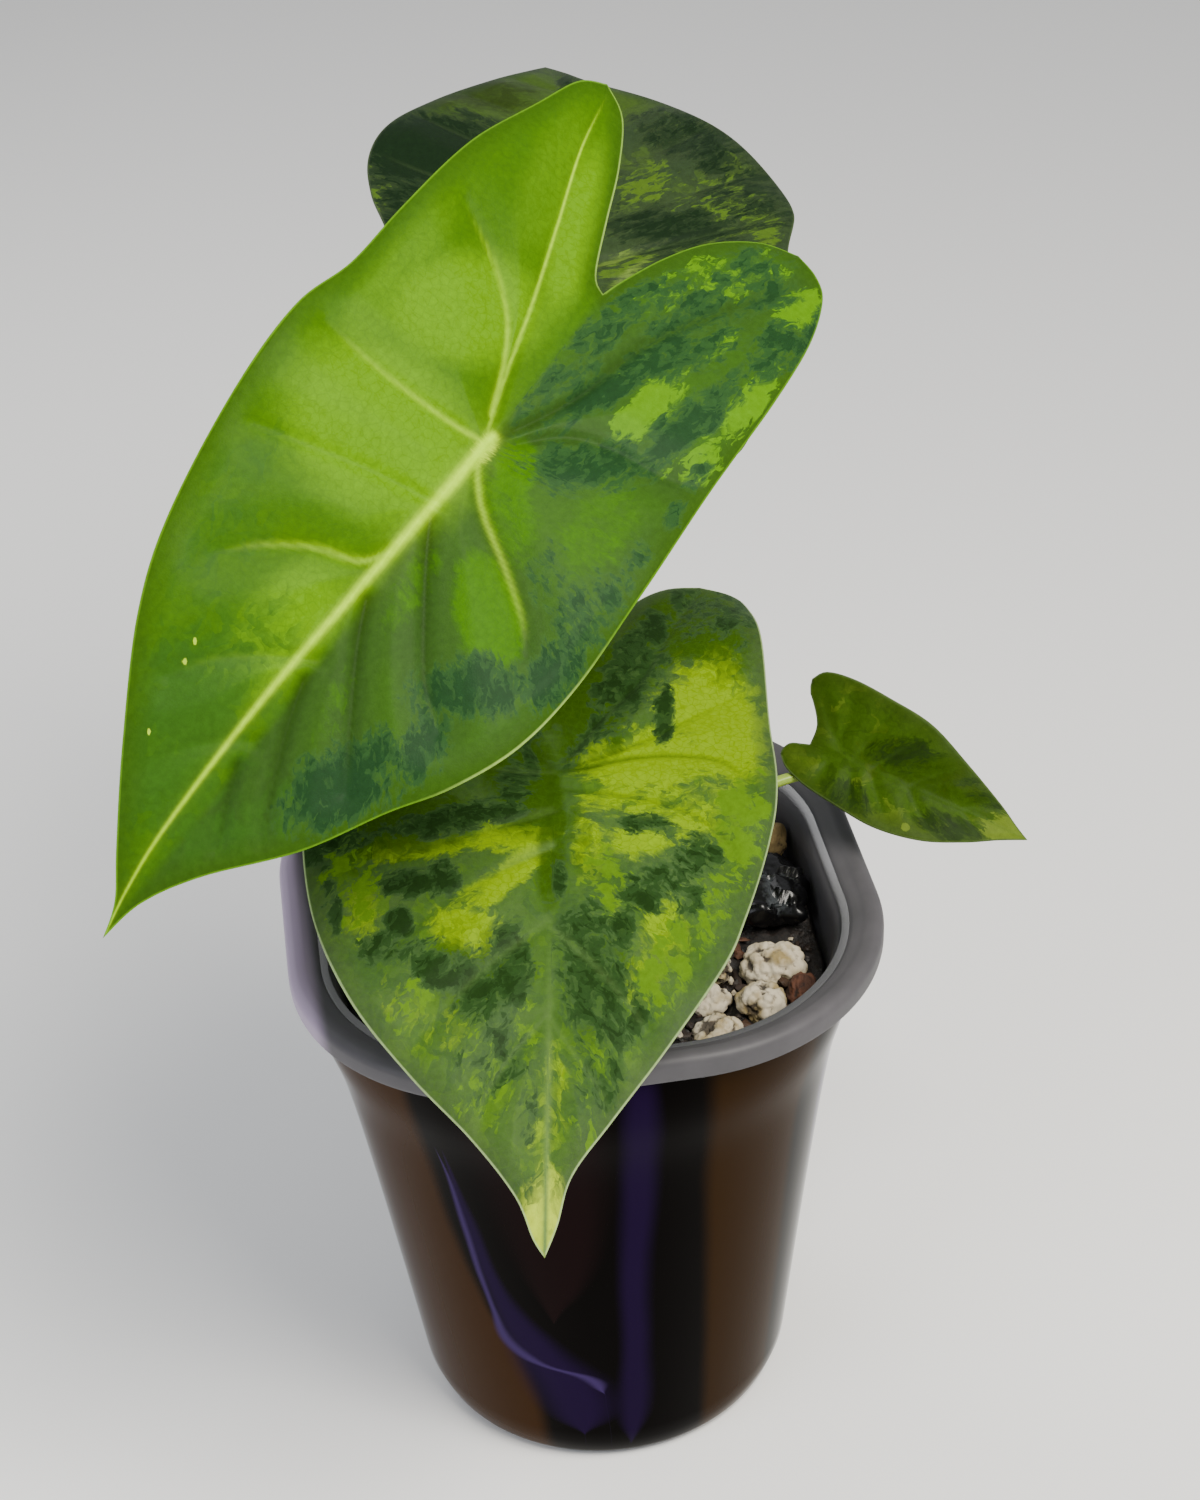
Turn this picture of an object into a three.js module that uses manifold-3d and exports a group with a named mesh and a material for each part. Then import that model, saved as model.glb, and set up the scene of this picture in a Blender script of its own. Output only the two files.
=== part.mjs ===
// A potted, variegated alocasia: four arrow-shaped leaves on petioles that grow from a short stem.
// The stem stands in a chunky aroid mix, in a frosted liner, in a glossy outer pot.
// Millimetres, +Z up. The origin is the centre of the outer pot's flat base, and the viewer is on the -Y side.
import * as THREE from "three";
import { mergeVertices } from "three/addons/utils/BufferGeometryUtils.js";
import Module from "manifold-3d";

// Clearance between pieces that touch, and the turn of both pots about Z.
const GAP = 0.3;
const POT_TURN = THREE.MathUtils.degToRad(6.8);
const POT_SIDES = 40;

// Pots. Half widths are taken across the flats of the rounded-square sections.
const POT_HEIGHT = 107;
// Corner radius as a share of the half width, where 1 is round: the outer pot is nearly round, the liner squarer.
const OUTER_SOFTNESS = { base: 1, rim: 0.9 };
const LINER_SOFTNESS = { base: 0.9, rim: 0.74 };
const OUTER_WALL = 1.8;
const OUTER_FLOOR = 2.2;
const OUTER_TOP = 104.6;
const OUTER_FOOT = [[0, 0], [29.5, 0], [32, 1], [33.4, 2.9]]; // [half width, z] of the rounded foot
const OUTER_FLARE = [[6, 34.5], [50, 39.7], [77, 43.4], [92, 46.9], [OUTER_TOP, 48.3]]; // [z, half width]
const WALL_LEVELS = [28, 50, 64, 77, 85, 92, 98]; // heights of the rings of every nested wall
const LINER_WALL = 1;
const LINER_FLOOR = 1.2;
const LINER_PLAY = 0.4;
const RIM = { half: 50, lip: 46.6, skirt: 1.2, band: 4.4 };
const INNER_ROUND = 2.6; // rounding of the outer pot's inside corner, and of the liner's foot below
const LINER_ROUND = 3.6;
const DRAIN = { count: 4, radius: 3.5, circle: 19 };

// Mix, and stem as [z, radius].
const MIX_TOP = 91.5;
const MIX_MOUND = 2;
const MIX_GRAIN = 1.5;
const MIX_BANK = { at: [36, 17], reach: 14, height: 3.4 }; // mix banked up against the back right of the liner
const STEM_RINGS = [[58, 3], [63, 7.2], [71, 9.2], [79, 8.9], [86, 9.5], [91, 9.1], [95, 9.3], [97, 8.8]];
const STEM_SIDES = 14;

// Blades. Each half outline is given as [along the midrib, across it], from the petiole's attachment.
// "outer" runs from the lobe's end to the tip, and "sinus" from the notch between the lobes to the lobe's end.
const BLADE = { thickness: 0.9, margin: 0.7, rib: 1.2, lobeRib: 0.9, sideVein: 0.5, ridge: 0.25, quilt: 0.5 };
const RIB_MIN = 0.2; // depth of the midrib at the tip, and of a lobe's rib at its end
const LOBE_RIB_MIN = 0.15;
const LOBE_LEVEL = 0.34; // share of the outer margin that belongs to the lobe
const TIP_SPREAD = 0.62; // how quickly the side veins fan out along the midrib, and along a lobe's rib
const LOBE_SPREAD = 0.6;
const LOBE_LAST_LINE = 0.88; // share of a lobe's rib where its last line leaves it
const LOBE_RIB_PULL = [0.5, 0.32]; // middle control point of a lobe's rib, as shares of its end point
const VEIN_BOW = 0.07; // how far a side vein arches, as a share of its length
const FULL_SIZE = 60; // length from which a blade has ribs of full depth
const LEAVES = {
  leaf_1: {
    attach: [-7.5, -30, 206.7], tip: [-63.6, -76, 158.5], facing: [0.165, -0.802, 0.574],
    droop: 30, lobeDroop: 25, fold: 0.15, cup: 0.001, wave: 0.8, sideVeins: 5, lobeVeins: 2, notch: -32,
    plus: {
      outer: [[-62, 20], [-60.5, 24], [-57, 27], [-48, 29], [-33, 29.5], [-14, 29.5], [6, 30], [21, 30.5],
        [33, 29], [43, 25], [51, 20], [62, 14], [73, 5.5], [81, 1.2]],
      sinus: [[-32, 0], [-36, 1], [-45, 4], [-53, 8], [-59.5, 14], [-62, 20]],
    },
    minus: {
      outer: [[-65, 19], [-61, 22.5], [-52, 25], [-38, 28.5], [-20, 30], [-8, 30.5], [3, 32.5], [19, 31.5],
        [37, 28], [50, 23], [65, 14], [77, 6], [83, 1.8]],
      sinus: [[-32, 0], [-34, 2.5], [-43, 6], [-53, 9.5], [-62, 14], [-65, 19]],
    },
  },
  leaf_2: {
    attach: [9, 36, 200.5], tip: [3.3, 112, 210.5], facing: [0.141, -0.119, 0.983],
    droop: 40, lobeDroop: 25, fold: 0.06, cup: 0.002, wave: 0.8, sideVeins: 5, lobeVeins: 2, notch: -16,
    plus: {
      outer: [[-34, 15], [-31, 22], [-20, 27], [-5, 31], [11, 33], [22, 35], [31, 35], [40, 31], [52, 22],
        [62, 12.5], [71, 5]],
      sinus: [[-16, 0], [-21, 2.5], [-28, 6], [-33, 10], [-34, 15]],
    },
    minus: {
      outer: [[-34, 15], [-31, 22], [-20, 27], [-5, 31], [8, 33.5], [18, 36], [28, 34.5], [40, 28], [54, 17],
        [64, 7], [72, 2.8]],
      sinus: [[-16, 0], [-21, 2.5], [-28, 6], [-33, 10], [-34, 15]],
    },
  },
  leaf_3: {
    attach: [-1.9, -20, 142.8], tip: [-6.5, -92, 109.1], facing: [0.055, -0.426, 0.903],
    droop: 32, lobeDroop: 20, fold: 0.1, cup: 0.002, wave: 1, sideVeins: 5, lobeVeins: 2, notch: -22,
    plus: {
      outer: [[-55, 25], [-53, 30.5], [-48, 33], [-34, 34.5], [-9, 35], [5, 35], [14, 33.5], [28, 29.5], [37, 26],
        [50, 17.5], [61, 9.5], [69, 3.8], [76, 1.8]],
      sinus: [[-22, 0], [-29, 3], [-38, 8.5], [-48, 13.5], [-53.5, 19], [-55, 25]],
    },
    minus: {
      outer: [[-54, 24], [-52, 30], [-44, 33.5], [-27, 35], [-9, 36.5], [3, 38], [17, 38], [31, 35], [44, 29],
        [55, 20], [64, 11], [72, 4.5], [78, 1.8]],
      sinus: [[-22, 0], [-29, 3], [-38, 8.5], [-47, 13.5], [-52.5, 19], [-54, 24]],
    },
  },
  leaf_4: {
    attach: [48.7, 10, 121.3], tip: [77.1, -2, 111.3], facing: [-0.055, -0.712, 0.7],
    droop: 15, lobeDroop: 15, fold: 0.3, cup: 0, wave: 0.3, sideVeins: 3, lobeVeins: 1, notch: -8,
    plus: {
      outer: [[-12, 10.5], [-10, 12.5], [-5, 13], [2, 12.3], [10, 11], [18, 7.5], [26, 3.6], [30, 1.3]],
      sinus: [[-8, 0], [-8.2, 3.5], [-10, 6.5], [-11.6, 8.5], [-12, 10.5]],
    },
    minus: {
      outer: [[-12, 3.5], [-10, 5.4], [-6, 7], [0, 8.2], [8, 9.2], [16, 8], [23, 5], [28, 2.2]],
      sinus: [[-8, 0], [-9.4, 0.4], [-11.2, 1], [-12, 2.2], [-12, 3.5]],
    },
  },
};

// Petioles: points of the centre line from the stem to just under the blade, and [share of the length, radius].
const PETIOLE_SIDES = 8;
const PETIOLES = {
  petiole_1: {
    leaf: "leaf_1", steps: 16, reach: 9,
    path: [[-4.4, 0.8, 97.3], [-4, 6, 115], [-1.8, 12, 143], [-4, 8, 172], [-8, -8, 193]],
    radii: [[0, 3.4], [0.12, 3], [0.4, 2.3], [0.85, 1.7], [1, 2]],
  },
  petiole_2: {
    leaf: "leaf_2", steps: 16, reach: 9,
    path: [[1.9, 4.6, 97.3], [2.6, 11.5, 115], [4, 26, 145], [6.2, 38.5, 173]],
    radii: [[0, 3.4], [0.12, 3], [0.4, 2.2], [0.85, 1.6], [1, 1.9]],
  },
  petiole_3: {
    leaf: "leaf_3", steps: 9, reach: 7,
    path: [[-0.4, -5.2, 97.3], [-0.9, -10.5, 112], [-1.6, -17, 127]],
    radii: [[0, 3.2], [0.2, 2.7], [0.6, 2], [0.85, 1.7], [1, 1.9]],
  },
  petiole_4: {
    leaf: "leaf_4", steps: 12, reach: 3,
    path: [[5.2, -1.2, 97.3], [9, 1, 105], [20, 5.5, 113.5], [37.8, 10.6, 118.3], [45, 12, 118.2]],
    radii: [[0, 2.6], [0.15, 1.9], [0.4, 1.1], [0.8, 0.9], [1, 1]],
  },
};

// Loose lumps on the mix: those in sight are set one by one, and the others follow from a seeded draw.
const LUMP_KINDS = {
  perlite: { color: 0xd9d4c6, roughness: 0.95, rough: 0.16 },
  charcoal: { color: 0x1b1c1e, roughness: 0.45, rough: 0.12 },
  bark: { color: 0x6f452c, roughness: 0.85, rough: 0.14 },
  pumice: { color: 0xb39b6d, roughness: 0.9, rough: 0.12 },
};
const LUMPS = [ // kind, centre [x, y], size [x, y, z], turn in degrees
  ["perlite", [33, -9], [13, 8.5, 7.5], -8],
  ["perlite", [23.2, -8.6], [6, 5.5, 5.5], 20],
  ["perlite", [21.8, -16.5], [6.5, 6, 5.5], 50],
  ["perlite", [30.2, -19.8], [8.6, 6.4, 6.4], -35],
  ["perlite", [22.6, -25], [8.5, 8, 6.5], 15],
  ["perlite", [-33, -18], [7.5, 6, 5], 70],
  ["charcoal", [33.2, 7.2], [14.8, 17.5, 9.8], 12],
  ["bark", [37.2, -16.5], [5, 7.5, 5], -25],
  ["bark", [-38, -5], [4.5, 10, 5], 12],
  ["pumice", [35.4, 21.6], [6.4, 6, 8.5], 30],
];
const DRAWN_LUMPS = {
  seed: 7, kinds: ["perlite", "bark", "charcoal", "perlite", "pumice", "bark"], count: 7,
  ring: [14, 36], size: [6, 10], clearOfStem: 11, clearOfWall: 40, apart: 1,
};
const LUMP_RISE = 0.16; // how far a lump's middle stands above the mix, as a share of its height

const wasm = await Module();
wasm.setup();

const v3 = (p) => new THREE.Vector3(...p);

// A repeatable stream of numbers from 0 to 1.
function seeded(seed) {
  let state = seed >>> 0;
  return () => {
    state = (Math.imul(state, 1664525) + 1013904223) >>> 0;
    return state / 4294967296;
  };
}

// Value read off a list of [position, value] pairs, straight between them.
function along(pairs, at) {
  if (at <= pairs[0][0]) return pairs[0][1];
  for (let i = 1; i < pairs.length; i++) {
    const [x0, y0] = pairs[i - 1];
    const [x1, y1] = pairs[i];
    if (at <= x1) return y0 + ((y1 - y0) * (at - x0)) / (x1 - x0);
  }
  return pairs[pairs.length - 1][1];
}

function bare(geometry) {
  const loose = geometry.index ? geometry.toNonIndexed() : geometry.clone();
  loose.deleteAttribute("normal");
  loose.deleteAttribute("uv");
  return mergeVertices(loose, 1e-3);
}

function solidOf(geometry) {
  const merged = bare(geometry);
  return new wasm.Manifold(new wasm.Mesh({
    numProp: 3,
    vertProperties: merged.attributes.position.array,
    triVerts: new Uint32Array(merged.index.array),
  }));
}

function geometryOf(solid) {
  const mesh = solid.getMesh();
  return closedGeometry(mesh.vertProperties, mesh.triVerts);
}

function closedGeometry(positions, index) {
  const geometry = new THREE.BufferGeometry();
  geometry.setAttribute("position", new THREE.BufferAttribute(new Float32Array(positions), 3));
  geometry.setIndex(new THREE.BufferAttribute(new Uint32Array(index), 1));
  geometry.computeVertexNormals();
  return geometry;
}

// Distance from the centre of a rounded square of half width 1 to its outline, in a given direction.
function squareReach(angle, softness) {
  const quarter = Math.PI / 2;
  const off = Math.abs(((((angle % quarter) + quarter) % quarter) + quarter / 2) % quarter - quarter / 2);
  const core = 1 - softness;
  if (Math.tan(off) <= core) return 1 / Math.cos(off);
  const across = core * (Math.cos(off) - Math.sin(off));
  return core * (Math.cos(off) + Math.sin(off)) + Math.sqrt(softness ** 2 - across ** 2);
}

function softnessAt(softness, z) {
  return THREE.MathUtils.lerp(softness.base, softness.rim, Math.min(Math.max(z / POT_HEIGHT, 0), 1));
}

// A turned profile of [half width, z] whose round sections become rounded squares.
function potShape(profile, softness) {
  const turned = new THREE.LatheGeometry(profile.map(([r, z]) => new THREE.Vector2(r, z)), POT_SIDES);
  turned.rotateX(Math.PI / 2);
  const p = turned.attributes.position;
  for (let i = 0; i < p.count; i++) {
    const reach = squareReach(Math.atan2(p.getY(i), p.getX(i)), softnessAt(softness, p.getZ(i)));
    p.setXY(i, p.getX(i) * reach, p.getY(i) * reach);
  }
  return turned;
}

// The liner's corners just clear the inside of the rounder outer pot.
const diagonal = (softness, z) => squareReach(Math.PI / 4, softnessAt(softness, z));
const flare = new THREE.SplineCurve(OUTER_FLARE.map((p) => new THREE.Vector2(...p))).getPoints(48);
const outerHalf = (z) => along(flare.map((p) => [p.x, p.y]), z);
const linerHalf = (z) => ((outerHalf(z) - OUTER_WALL) * diagonal(OUTER_SOFTNESS, z) - LINER_PLAY)
  / diagonal(LINER_SOFTNESS, z);
const mixHalf = (z) => linerHalf(z) - LINER_WALL - GAP;

// Profile of a wall between two heights, upwards.
function wall(half, from, to) {
  return [from, ...WALL_LEVELS.filter((z) => z > from && z < to), to].map((z) => [half(z), z]);
}

// Glossy outer pot: flat base, rounded foot, flared wall, closed floor.
function outerPot() {
  const inner = (z) => outerHalf(z) - OUTER_WALL;
  return potShape([
    ...OUTER_FOOT, ...wall(outerHalf, 6, OUTER_TOP), ...wall(inner, 6, OUTER_TOP).reverse(),
    [inner(6) - INNER_ROUND, OUTER_FLOOR], [0, OUTER_FLOOR],
  ], OUTER_SOFTNESS);
}

// Frosted liner: it hangs over the outer pot with a rolled rim, and its floor has drain holes.
function nurseryPot() {
  const base = OUTER_FLOOR + GAP;
  const floor = base + LINER_FLOOR;
  const inner = (z) => linerHalf(z) - LINER_WALL;
  const under = OUTER_TOP + GAP;
  const skirtIn = RIM.half - RIM.skirt;
  const foot = POT_HEIGHT - RIM.band;
  const body = solidOf(potShape([
    [0, base], [linerHalf(6) - LINER_ROUND, base], [linerHalf(6) - 1, 4.8], ...wall(linerHalf, 8, under),
    [skirtIn, under], [skirtIn, foot], [RIM.half - 0.2, foot], [RIM.half, foot + 0.8],
    [RIM.half, POT_HEIGHT - 1.4],
    [RIM.half - 0.8, POT_HEIGHT - 0.3], [RIM.half - 1.8, POT_HEIGHT], [RIM.lip, POT_HEIGHT - 0.5],
    [RIM.lip - 1.8, under + 0.2], [inner(under) + 0.5, under - 1.6], ...wall(inner, 8, 98).reverse(),
    [linerHalf(6) - LINER_ROUND - 0.8, floor], [0, floor],
  ], LINER_SOFTNESS));
  return geometryOf(drainHoles(base, floor).reduce((pot, hole) => pot.subtract(hole), body));
}

function drainHoles(base, floor) {
  return Array.from({ length: DRAIN.count }, (_, i) => {
    const turn = ((i + 0.5) / DRAIN.count) * 2 * Math.PI;
    const hole = new THREE.CylinderGeometry(DRAIN.radius, DRAIN.radius, floor - base + 2, 12);
    hole.rotateX(Math.PI / 2);
    hole.translate(DRAIN.circle * Math.cos(turn), DRAIN.circle * Math.sin(turn), (base + floor) / 2);
    return solidOf(hole);
  });
}

// Smooth noise from -1 to 1 on a square lattice, for the crumbs of the mix.
function crumbs(x, y) {
  const corner = (i, j) => {
    const s = Math.sin(i * 127.1 + j * 311.7) * 43758.5453;
    return 2 * (s - Math.floor(s)) - 1;
  };
  const [i, j] = [Math.floor(x), Math.floor(y)];
  const [fx, fy] = [x - i, y - j].map((f) => f * f * (3 - 2 * f));
  const low = corner(i, j) * (1 - fx) + corner(i + 1, j) * fx;
  const high = corner(i, j + 1) * (1 - fx) + corner(i + 1, j + 1) * fx;
  return low * (1 - fy) + high * fy;
}

function mixSurface(x, y) {
  const mound = MIX_MOUND * Math.exp(-(x * x + y * y) / 400);
  const [bankX, bankY] = MIX_BANK.at;
  const bank = MIX_BANK.height * Math.exp(-(((x - bankX) ** 2 + (y - bankY) ** 2) / MIX_BANK.reach ** 2));
  return MIX_TOP + mound + bank + MIX_GRAIN * (crumbs(x / 6, y / 6) + 0.5 * crumbs(x / 3 + 9, y / 3 - 4));
}

// Chunky mix that fills the liner, with a crumbly top.
function mixFill() {
  const floor = OUTER_FLOOR + GAP + LINER_FLOOR + GAP;
  const rings = 8;
  const top = Array.from({ length: rings + 1 }, (_, i) => [mixHalf(MIX_TOP) * (1 - i / rings), MIX_TOP]);
  const fill = potShape([[0, floor], [mixHalf(6) - LINER_ROUND, floor], ...wall(mixHalf, 8, MIX_TOP - 3), ...top],
    LINER_SOFTNESS);
  fill.rotateZ(POT_TURN);
  const p = fill.attributes.position;
  for (let i = 0; i < p.count; i++) {
    if (p.getZ(i) < MIX_TOP - 0.01) continue;
    const z = mixSurface(p.getX(i), p.getY(i));
    const narrower = mixHalf(Math.min(z, MIX_TOP)) / mixHalf(MIX_TOP);
    p.setXYZ(i, p.getX(i) * narrower, p.getY(i) * narrower, z);
  }
  return fill;
}

// Closed skin over rings of points that all have the same count, with a flat cap at each end.
function loft(rings) {
  const sides = rings[0].length;
  const positions = rings.flat().flatMap((p) => p.toArray());
  const index = [];
  for (let r = 0; r + 1 < rings.length; r++) {
    for (let s = 0; s < sides; s++) {
      const [a, b] = [r * sides + s, r * sides + ((s + 1) % sides)];
      index.push(a, b, b + sides, a, b + sides, a + sides);
    }
  }
  const last = (rings.length - 1) * sides;
  for (let s = 1; s + 1 < sides; s++) index.push(0, s + 1, s, last, last + s, last + s + 1);
  return closedGeometry(positions, index);
}

function ring(centre, across, up, radius, sides) {
  return Array.from({ length: sides }, (_, i) => {
    const turn = (i / sides) * 2 * Math.PI;
    const out = across.clone().multiplyScalar(Math.cos(turn)).addScaledVector(up, Math.sin(turn));
    return centre.clone().addScaledVector(out, radius);
  });
}

// Upright stem with low rings where old leaves were, grown by "extra" for its hole in the mix.
function stemShape(extra = 0, topExtra = 0) {
  const [x, y] = [new THREE.Vector3(1, 0, 0), new THREE.Vector3(0, 1, 0)];
  return loft(STEM_RINGS.map(([z, r], i) => {
    const height = z + (i === 0 ? -extra : 0) + (i === STEM_RINGS.length - 1 ? topExtra : 0);
    return ring(new THREE.Vector3(0, 0, height), x, y, r + extra, STEM_SIDES);
  }));
}

// Frame of a blade: the midrib leaves the attachment along "m", "n" is the upper face and "t" points across.
function bladeFrame(leaf) {
  const attach = v3(leaf.attach);
  const chord = v3(leaf.tip).sub(attach);
  const u = chord.clone().normalize();
  const facing = v3(leaf.facing);
  facing.addScaledVector(u, -facing.dot(u)).normalize();
  const half = THREE.MathUtils.degToRad(leaf.droop) / 2;
  const length = (chord.length() * half) / Math.sin(half);
  const m = u.clone().multiplyScalar(Math.cos(half)).addScaledVector(facing, Math.sin(half));
  const n = facing.clone().multiplyScalar(Math.cos(half)).addScaledVector(u, -Math.sin(half));
  const t = n.clone().cross(m);
  const lobeBend = THREE.MathUtils.degToRad(leaf.lobeDroop) / length;
  return { attach, m, n, t, length, bend: (2 * half) / length, lobeBend };
}

// Point of the blade's middle surface "a" along the midrib and "w" across it.
function bladePoint(leaf, frame, a, w) {
  const k = a > 0 ? frame.bend : frame.lobeBend;
  const turn = k * a;
  const n = frame.m.clone().multiplyScalar(Math.sin(turn)).addScaledVector(frame.n, Math.cos(turn));
  const rise = leaf.fold * (Math.hypot(w, 6) - 6) - leaf.cup * w * w
    + leaf.wave * (Math.abs(w) / 30) ** 3 * Math.sin(a / 6 + (w > 0 ? 1.1 : 0));
  return frame.attach.clone()
    .addScaledVector(frame.m, Math.sin(turn) / k)
    .addScaledVector(frame.n, (Math.cos(turn) - 1) / k)
    .addScaledVector(frame.t, w)
    .addScaledVector(n, rise);
}

function bladeNormal(leaf, frame, a, w) {
  const e = 0.05;
  const da = bladePoint(leaf, frame, a + e, w).sub(bladePoint(leaf, frame, a - e, w));
  const dw = bladePoint(leaf, frame, a, w + e).sub(bladePoint(leaf, frame, a, w - e));
  return da.cross(dw).normalize();
}

// Lines that run from the midrib, or from a lobe's rib, out to the margin: side veins with a foot on
// either side, and one line on the crown of the blade between them. Each is [share of the rib, share of the
// margin between the attachment's level and the end, kind].
function veinLines(count, ribLength, marginLength, spread, scale) {
  const foot = (1.1 * scale) / ribLength;
  const edge = (0.5 * scale) / marginLength;
  const line = (u, kind) => [u ** (1 / spread), u, kind];
  const lines = [[foot, edge, "foot"]];
  for (let k = 1; k <= count + 1; k++) {
    const [u, between] = [k / (count + 1), (k - 0.5) / (count + 1)];
    lines.push(line(between, "crown"));
    if (k > count) break;
    const [s] = line(u);
    lines.push([s - foot, u - edge, "foot"], line(u, "vein"), [s + foot, u + edge, "foot"]);
  }
  lines.push([1, 1, "end"]);
  return lines;
}

// One waved blade: both faces have the same triangles, the ribs stand out below and sink in above.
function bladeGeometry(leaf) {
  const frame = bladeFrame(leaf);
  const points = [];
  const known = new Map();
  const faces = [];
  const vertex = (a, w, under, over, lift) => {
    const key = `${Math.round(a * 1000)} ${Math.round(w * 1000)}`;
    if (!known.has(key)) {
      known.set(key, points.length);
      points.push({ a, w, under, over, lift });
    }
    return known.get(key);
  };
  // Two triangles for each cell between neighbouring rows, all turned towards the upper face.
  const weave = (rows, turned) => {
    for (let r = 0; r + 1 < rows.length; r++) {
      for (let c = 0; c + 1 < rows[r].length; c++) {
        const [p, q, s, t] = [rows[r][c], rows[r][c + 1], rows[r + 1][c + 1], rows[r + 1][c]];
        for (const face of [[p, q, s], [p, s, t]]) {
          if (new Set(face).size === 3) faces.push(turned ? face.reverse() : face);
        }
      }
    }
  };
  for (const side of [1, -1]) {
    const half = side > 0 ? leaf.plus : leaf.minus;
    const place = (a, w, ...rest) => vertex(a, side * w, ...rest);
    const { outerRows, sinusRows } = halfBlade(leaf, frame.length, half, place);
    weave(outerRows, side < 0);
    weave(sinusRows, side > 0);
  }
  return thicken(leaf, frame, points, faces);
}

// Rows of vertices of one half: from the midrib and the lobe's rib out to the margin, and from the lobe's rib
// in to the sinus.
function halfBlade(leaf, length, half, vertex) {
  const outer = new THREE.SplineCurve([...half.outer, [length, 0]].map((p) => new THREE.Vector2(...p)));
  const sinus = new THREE.SplineCurve(half.sinus.map((p) => new THREE.Vector2(...p)));
  outer.arcLengthDivisions = sinus.arcLengthDivisions = 400;
  const origin = new THREE.Vector2(0, 0);
  const end = outer.getPoint(0);
  const pull = new THREE.Vector2(...LOBE_RIB_PULL).multiply(end);
  const lobeRib = new THREE.QuadraticBezierCurve(origin, pull, end);
  const marginLength = outer.getLength();
  const columns = [0, 0, 0.3, 0.6, 0.86, 1];
  const notch = new THREE.Vector2(leaf.notch, 0);
  const notchShare = 0.5 ** (1 / LOBE_SPREAD); // the line that ends half way along the lobe's outer margin
  const scale = Math.min(1, length / FULL_SIZE);

  // Row of vertices from a point of a rib to a point of the edge, bowed by "bow".
  const row = (from, to, bow, kind, ribHere, edge, shares) => shares.map((share, i) => {
    const reach = from.distanceTo(to);
    const c = i === 1 ? Math.min(0.2, (1.2 * scale) / Math.max(reach, 1e-6)) : share;
    const p = from.clone().lerp(to, c).addScaledVector(bow, 4 * c * (1 - c) * reach * VEIN_BOW);
    if (i === 0) return vertex(p.x, p.y, ribHere, BLADE.ridge, 0);
    const vein = kind === "vein" ? BLADE.sideVein * (1 - c) + 0.08 : 0;
    const lift = kind === "crown" && edge ? BLADE.quilt * Math.sin(Math.PI * Math.min(c, 0.95)) : 0;
    return vertex(p.x, p.y, vein, 0, lift);
  });

  const forward = veinLines(leaf.sideVeins, length, marginLength * (1 - LOBE_LEVEL), TIP_SPREAD, scale);
  const backward = veinLines(leaf.lobeVeins, lobeRib.getLength(), marginLength * LOBE_LEVEL, LOBE_SPREAD, scale);
  backward.splice(-1, 0, [LOBE_LAST_LINE, LOBE_LAST_LINE ** LOBE_SPREAD, "end"]);
  const toNotch = backward.findIndex(([q]) => Math.abs(q - notchShare) < 1e-6) + 1;

  const rows = [];
  const ribAt = (s) => BLADE.rib * scale * (1 - s) ** 0.8 + RIB_MIN;
  const lobeRibAt = (q) => BLADE.lobeRib * scale * (1 - q) + LOBE_RIB_MIN;
  const marginAt = (u) => outer.getPointAt(Math.min(Math.max(u, 0), 1));
  for (const [s, u, kind] of [...forward].reverse()) {
    const [at, bow] = [new THREE.Vector2(length * s, 0), new THREE.Vector2(-Math.min(1, 4 * s), 0)];
    rows.push(row(at, marginAt(LOBE_LEVEL + (1 - LOBE_LEVEL) * u), bow, kind, ribAt(s), true, columns));
  }
  rows.push(row(origin, marginAt(LOBE_LEVEL), new THREE.Vector2(), "vein", ribAt(0), true, columns));
  const inner = [Array(4).fill(rows.at(-1)[0])];
  for (const [i, [q, u, kind]] of backward.entries()) {
    const at = lobeRib.getPoint(q);
    const bow = lobeRib.getTangent(q).multiplyScalar(-Math.min(1, 4 * q));
    rows.push(row(at, marginAt(LOBE_LEVEL * (1 - u)), bow, kind, lobeRibAt(q), true, columns));
    const edge = i < toNotch
      ? notch.clone().multiplyScalar((i + 1) / toNotch)
      : sinus.getPointAt((q - notchShare) / (1 - notchShare));
    inner.push(row(at, edge, new THREE.Vector2(), "inner", lobeRibAt(q), false, [0, 0, 0.6, 1]));
  }
  return { outerRows: rows, sinusRows: inner };
}

// Upper face, lower face with the same triangles, and the narrow edge that joins them.
function thicken(leaf, frame, points, upper) {
  const open = new Set();
  for (const [i, j, k] of upper) {
    for (const [p, q] of [[i, j], [j, k], [k, i]]) {
      if (!open.delete(`${q} ${p}`)) open.add(`${p} ${q}`);
    }
  }
  const rim = [...open].map((key) => key.split(" ").map(Number));
  const onRim = new Set(rim.flat());
  const positions = [];
  const skins = points.map((p, i) => {
    const middle = bladePoint(leaf, frame, p.a, p.w);
    const n = bladeNormal(leaf, frame, p.a, p.w);
    const halfThick = (onRim.has(i) ? BLADE.margin : BLADE.thickness) / 2;
    const heights = [p.lift + halfThick + p.over, p.lift - halfThick - p.under];
    return heights.map((height) => middle.clone().addScaledVector(n, height));
  });
  for (const layer of [0, 1]) for (const skin of skins) positions.push(...skin[layer].toArray());
  const below = points.length;
  const index = upper.flatMap(([i, j, k]) => [i, j, k, k + below, j + below, i + below]);
  for (const [i, j] of rim) index.push(j, i, i + below, j, i + below, j + below);
  return bare(closedGeometry(positions, index));
}

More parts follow.
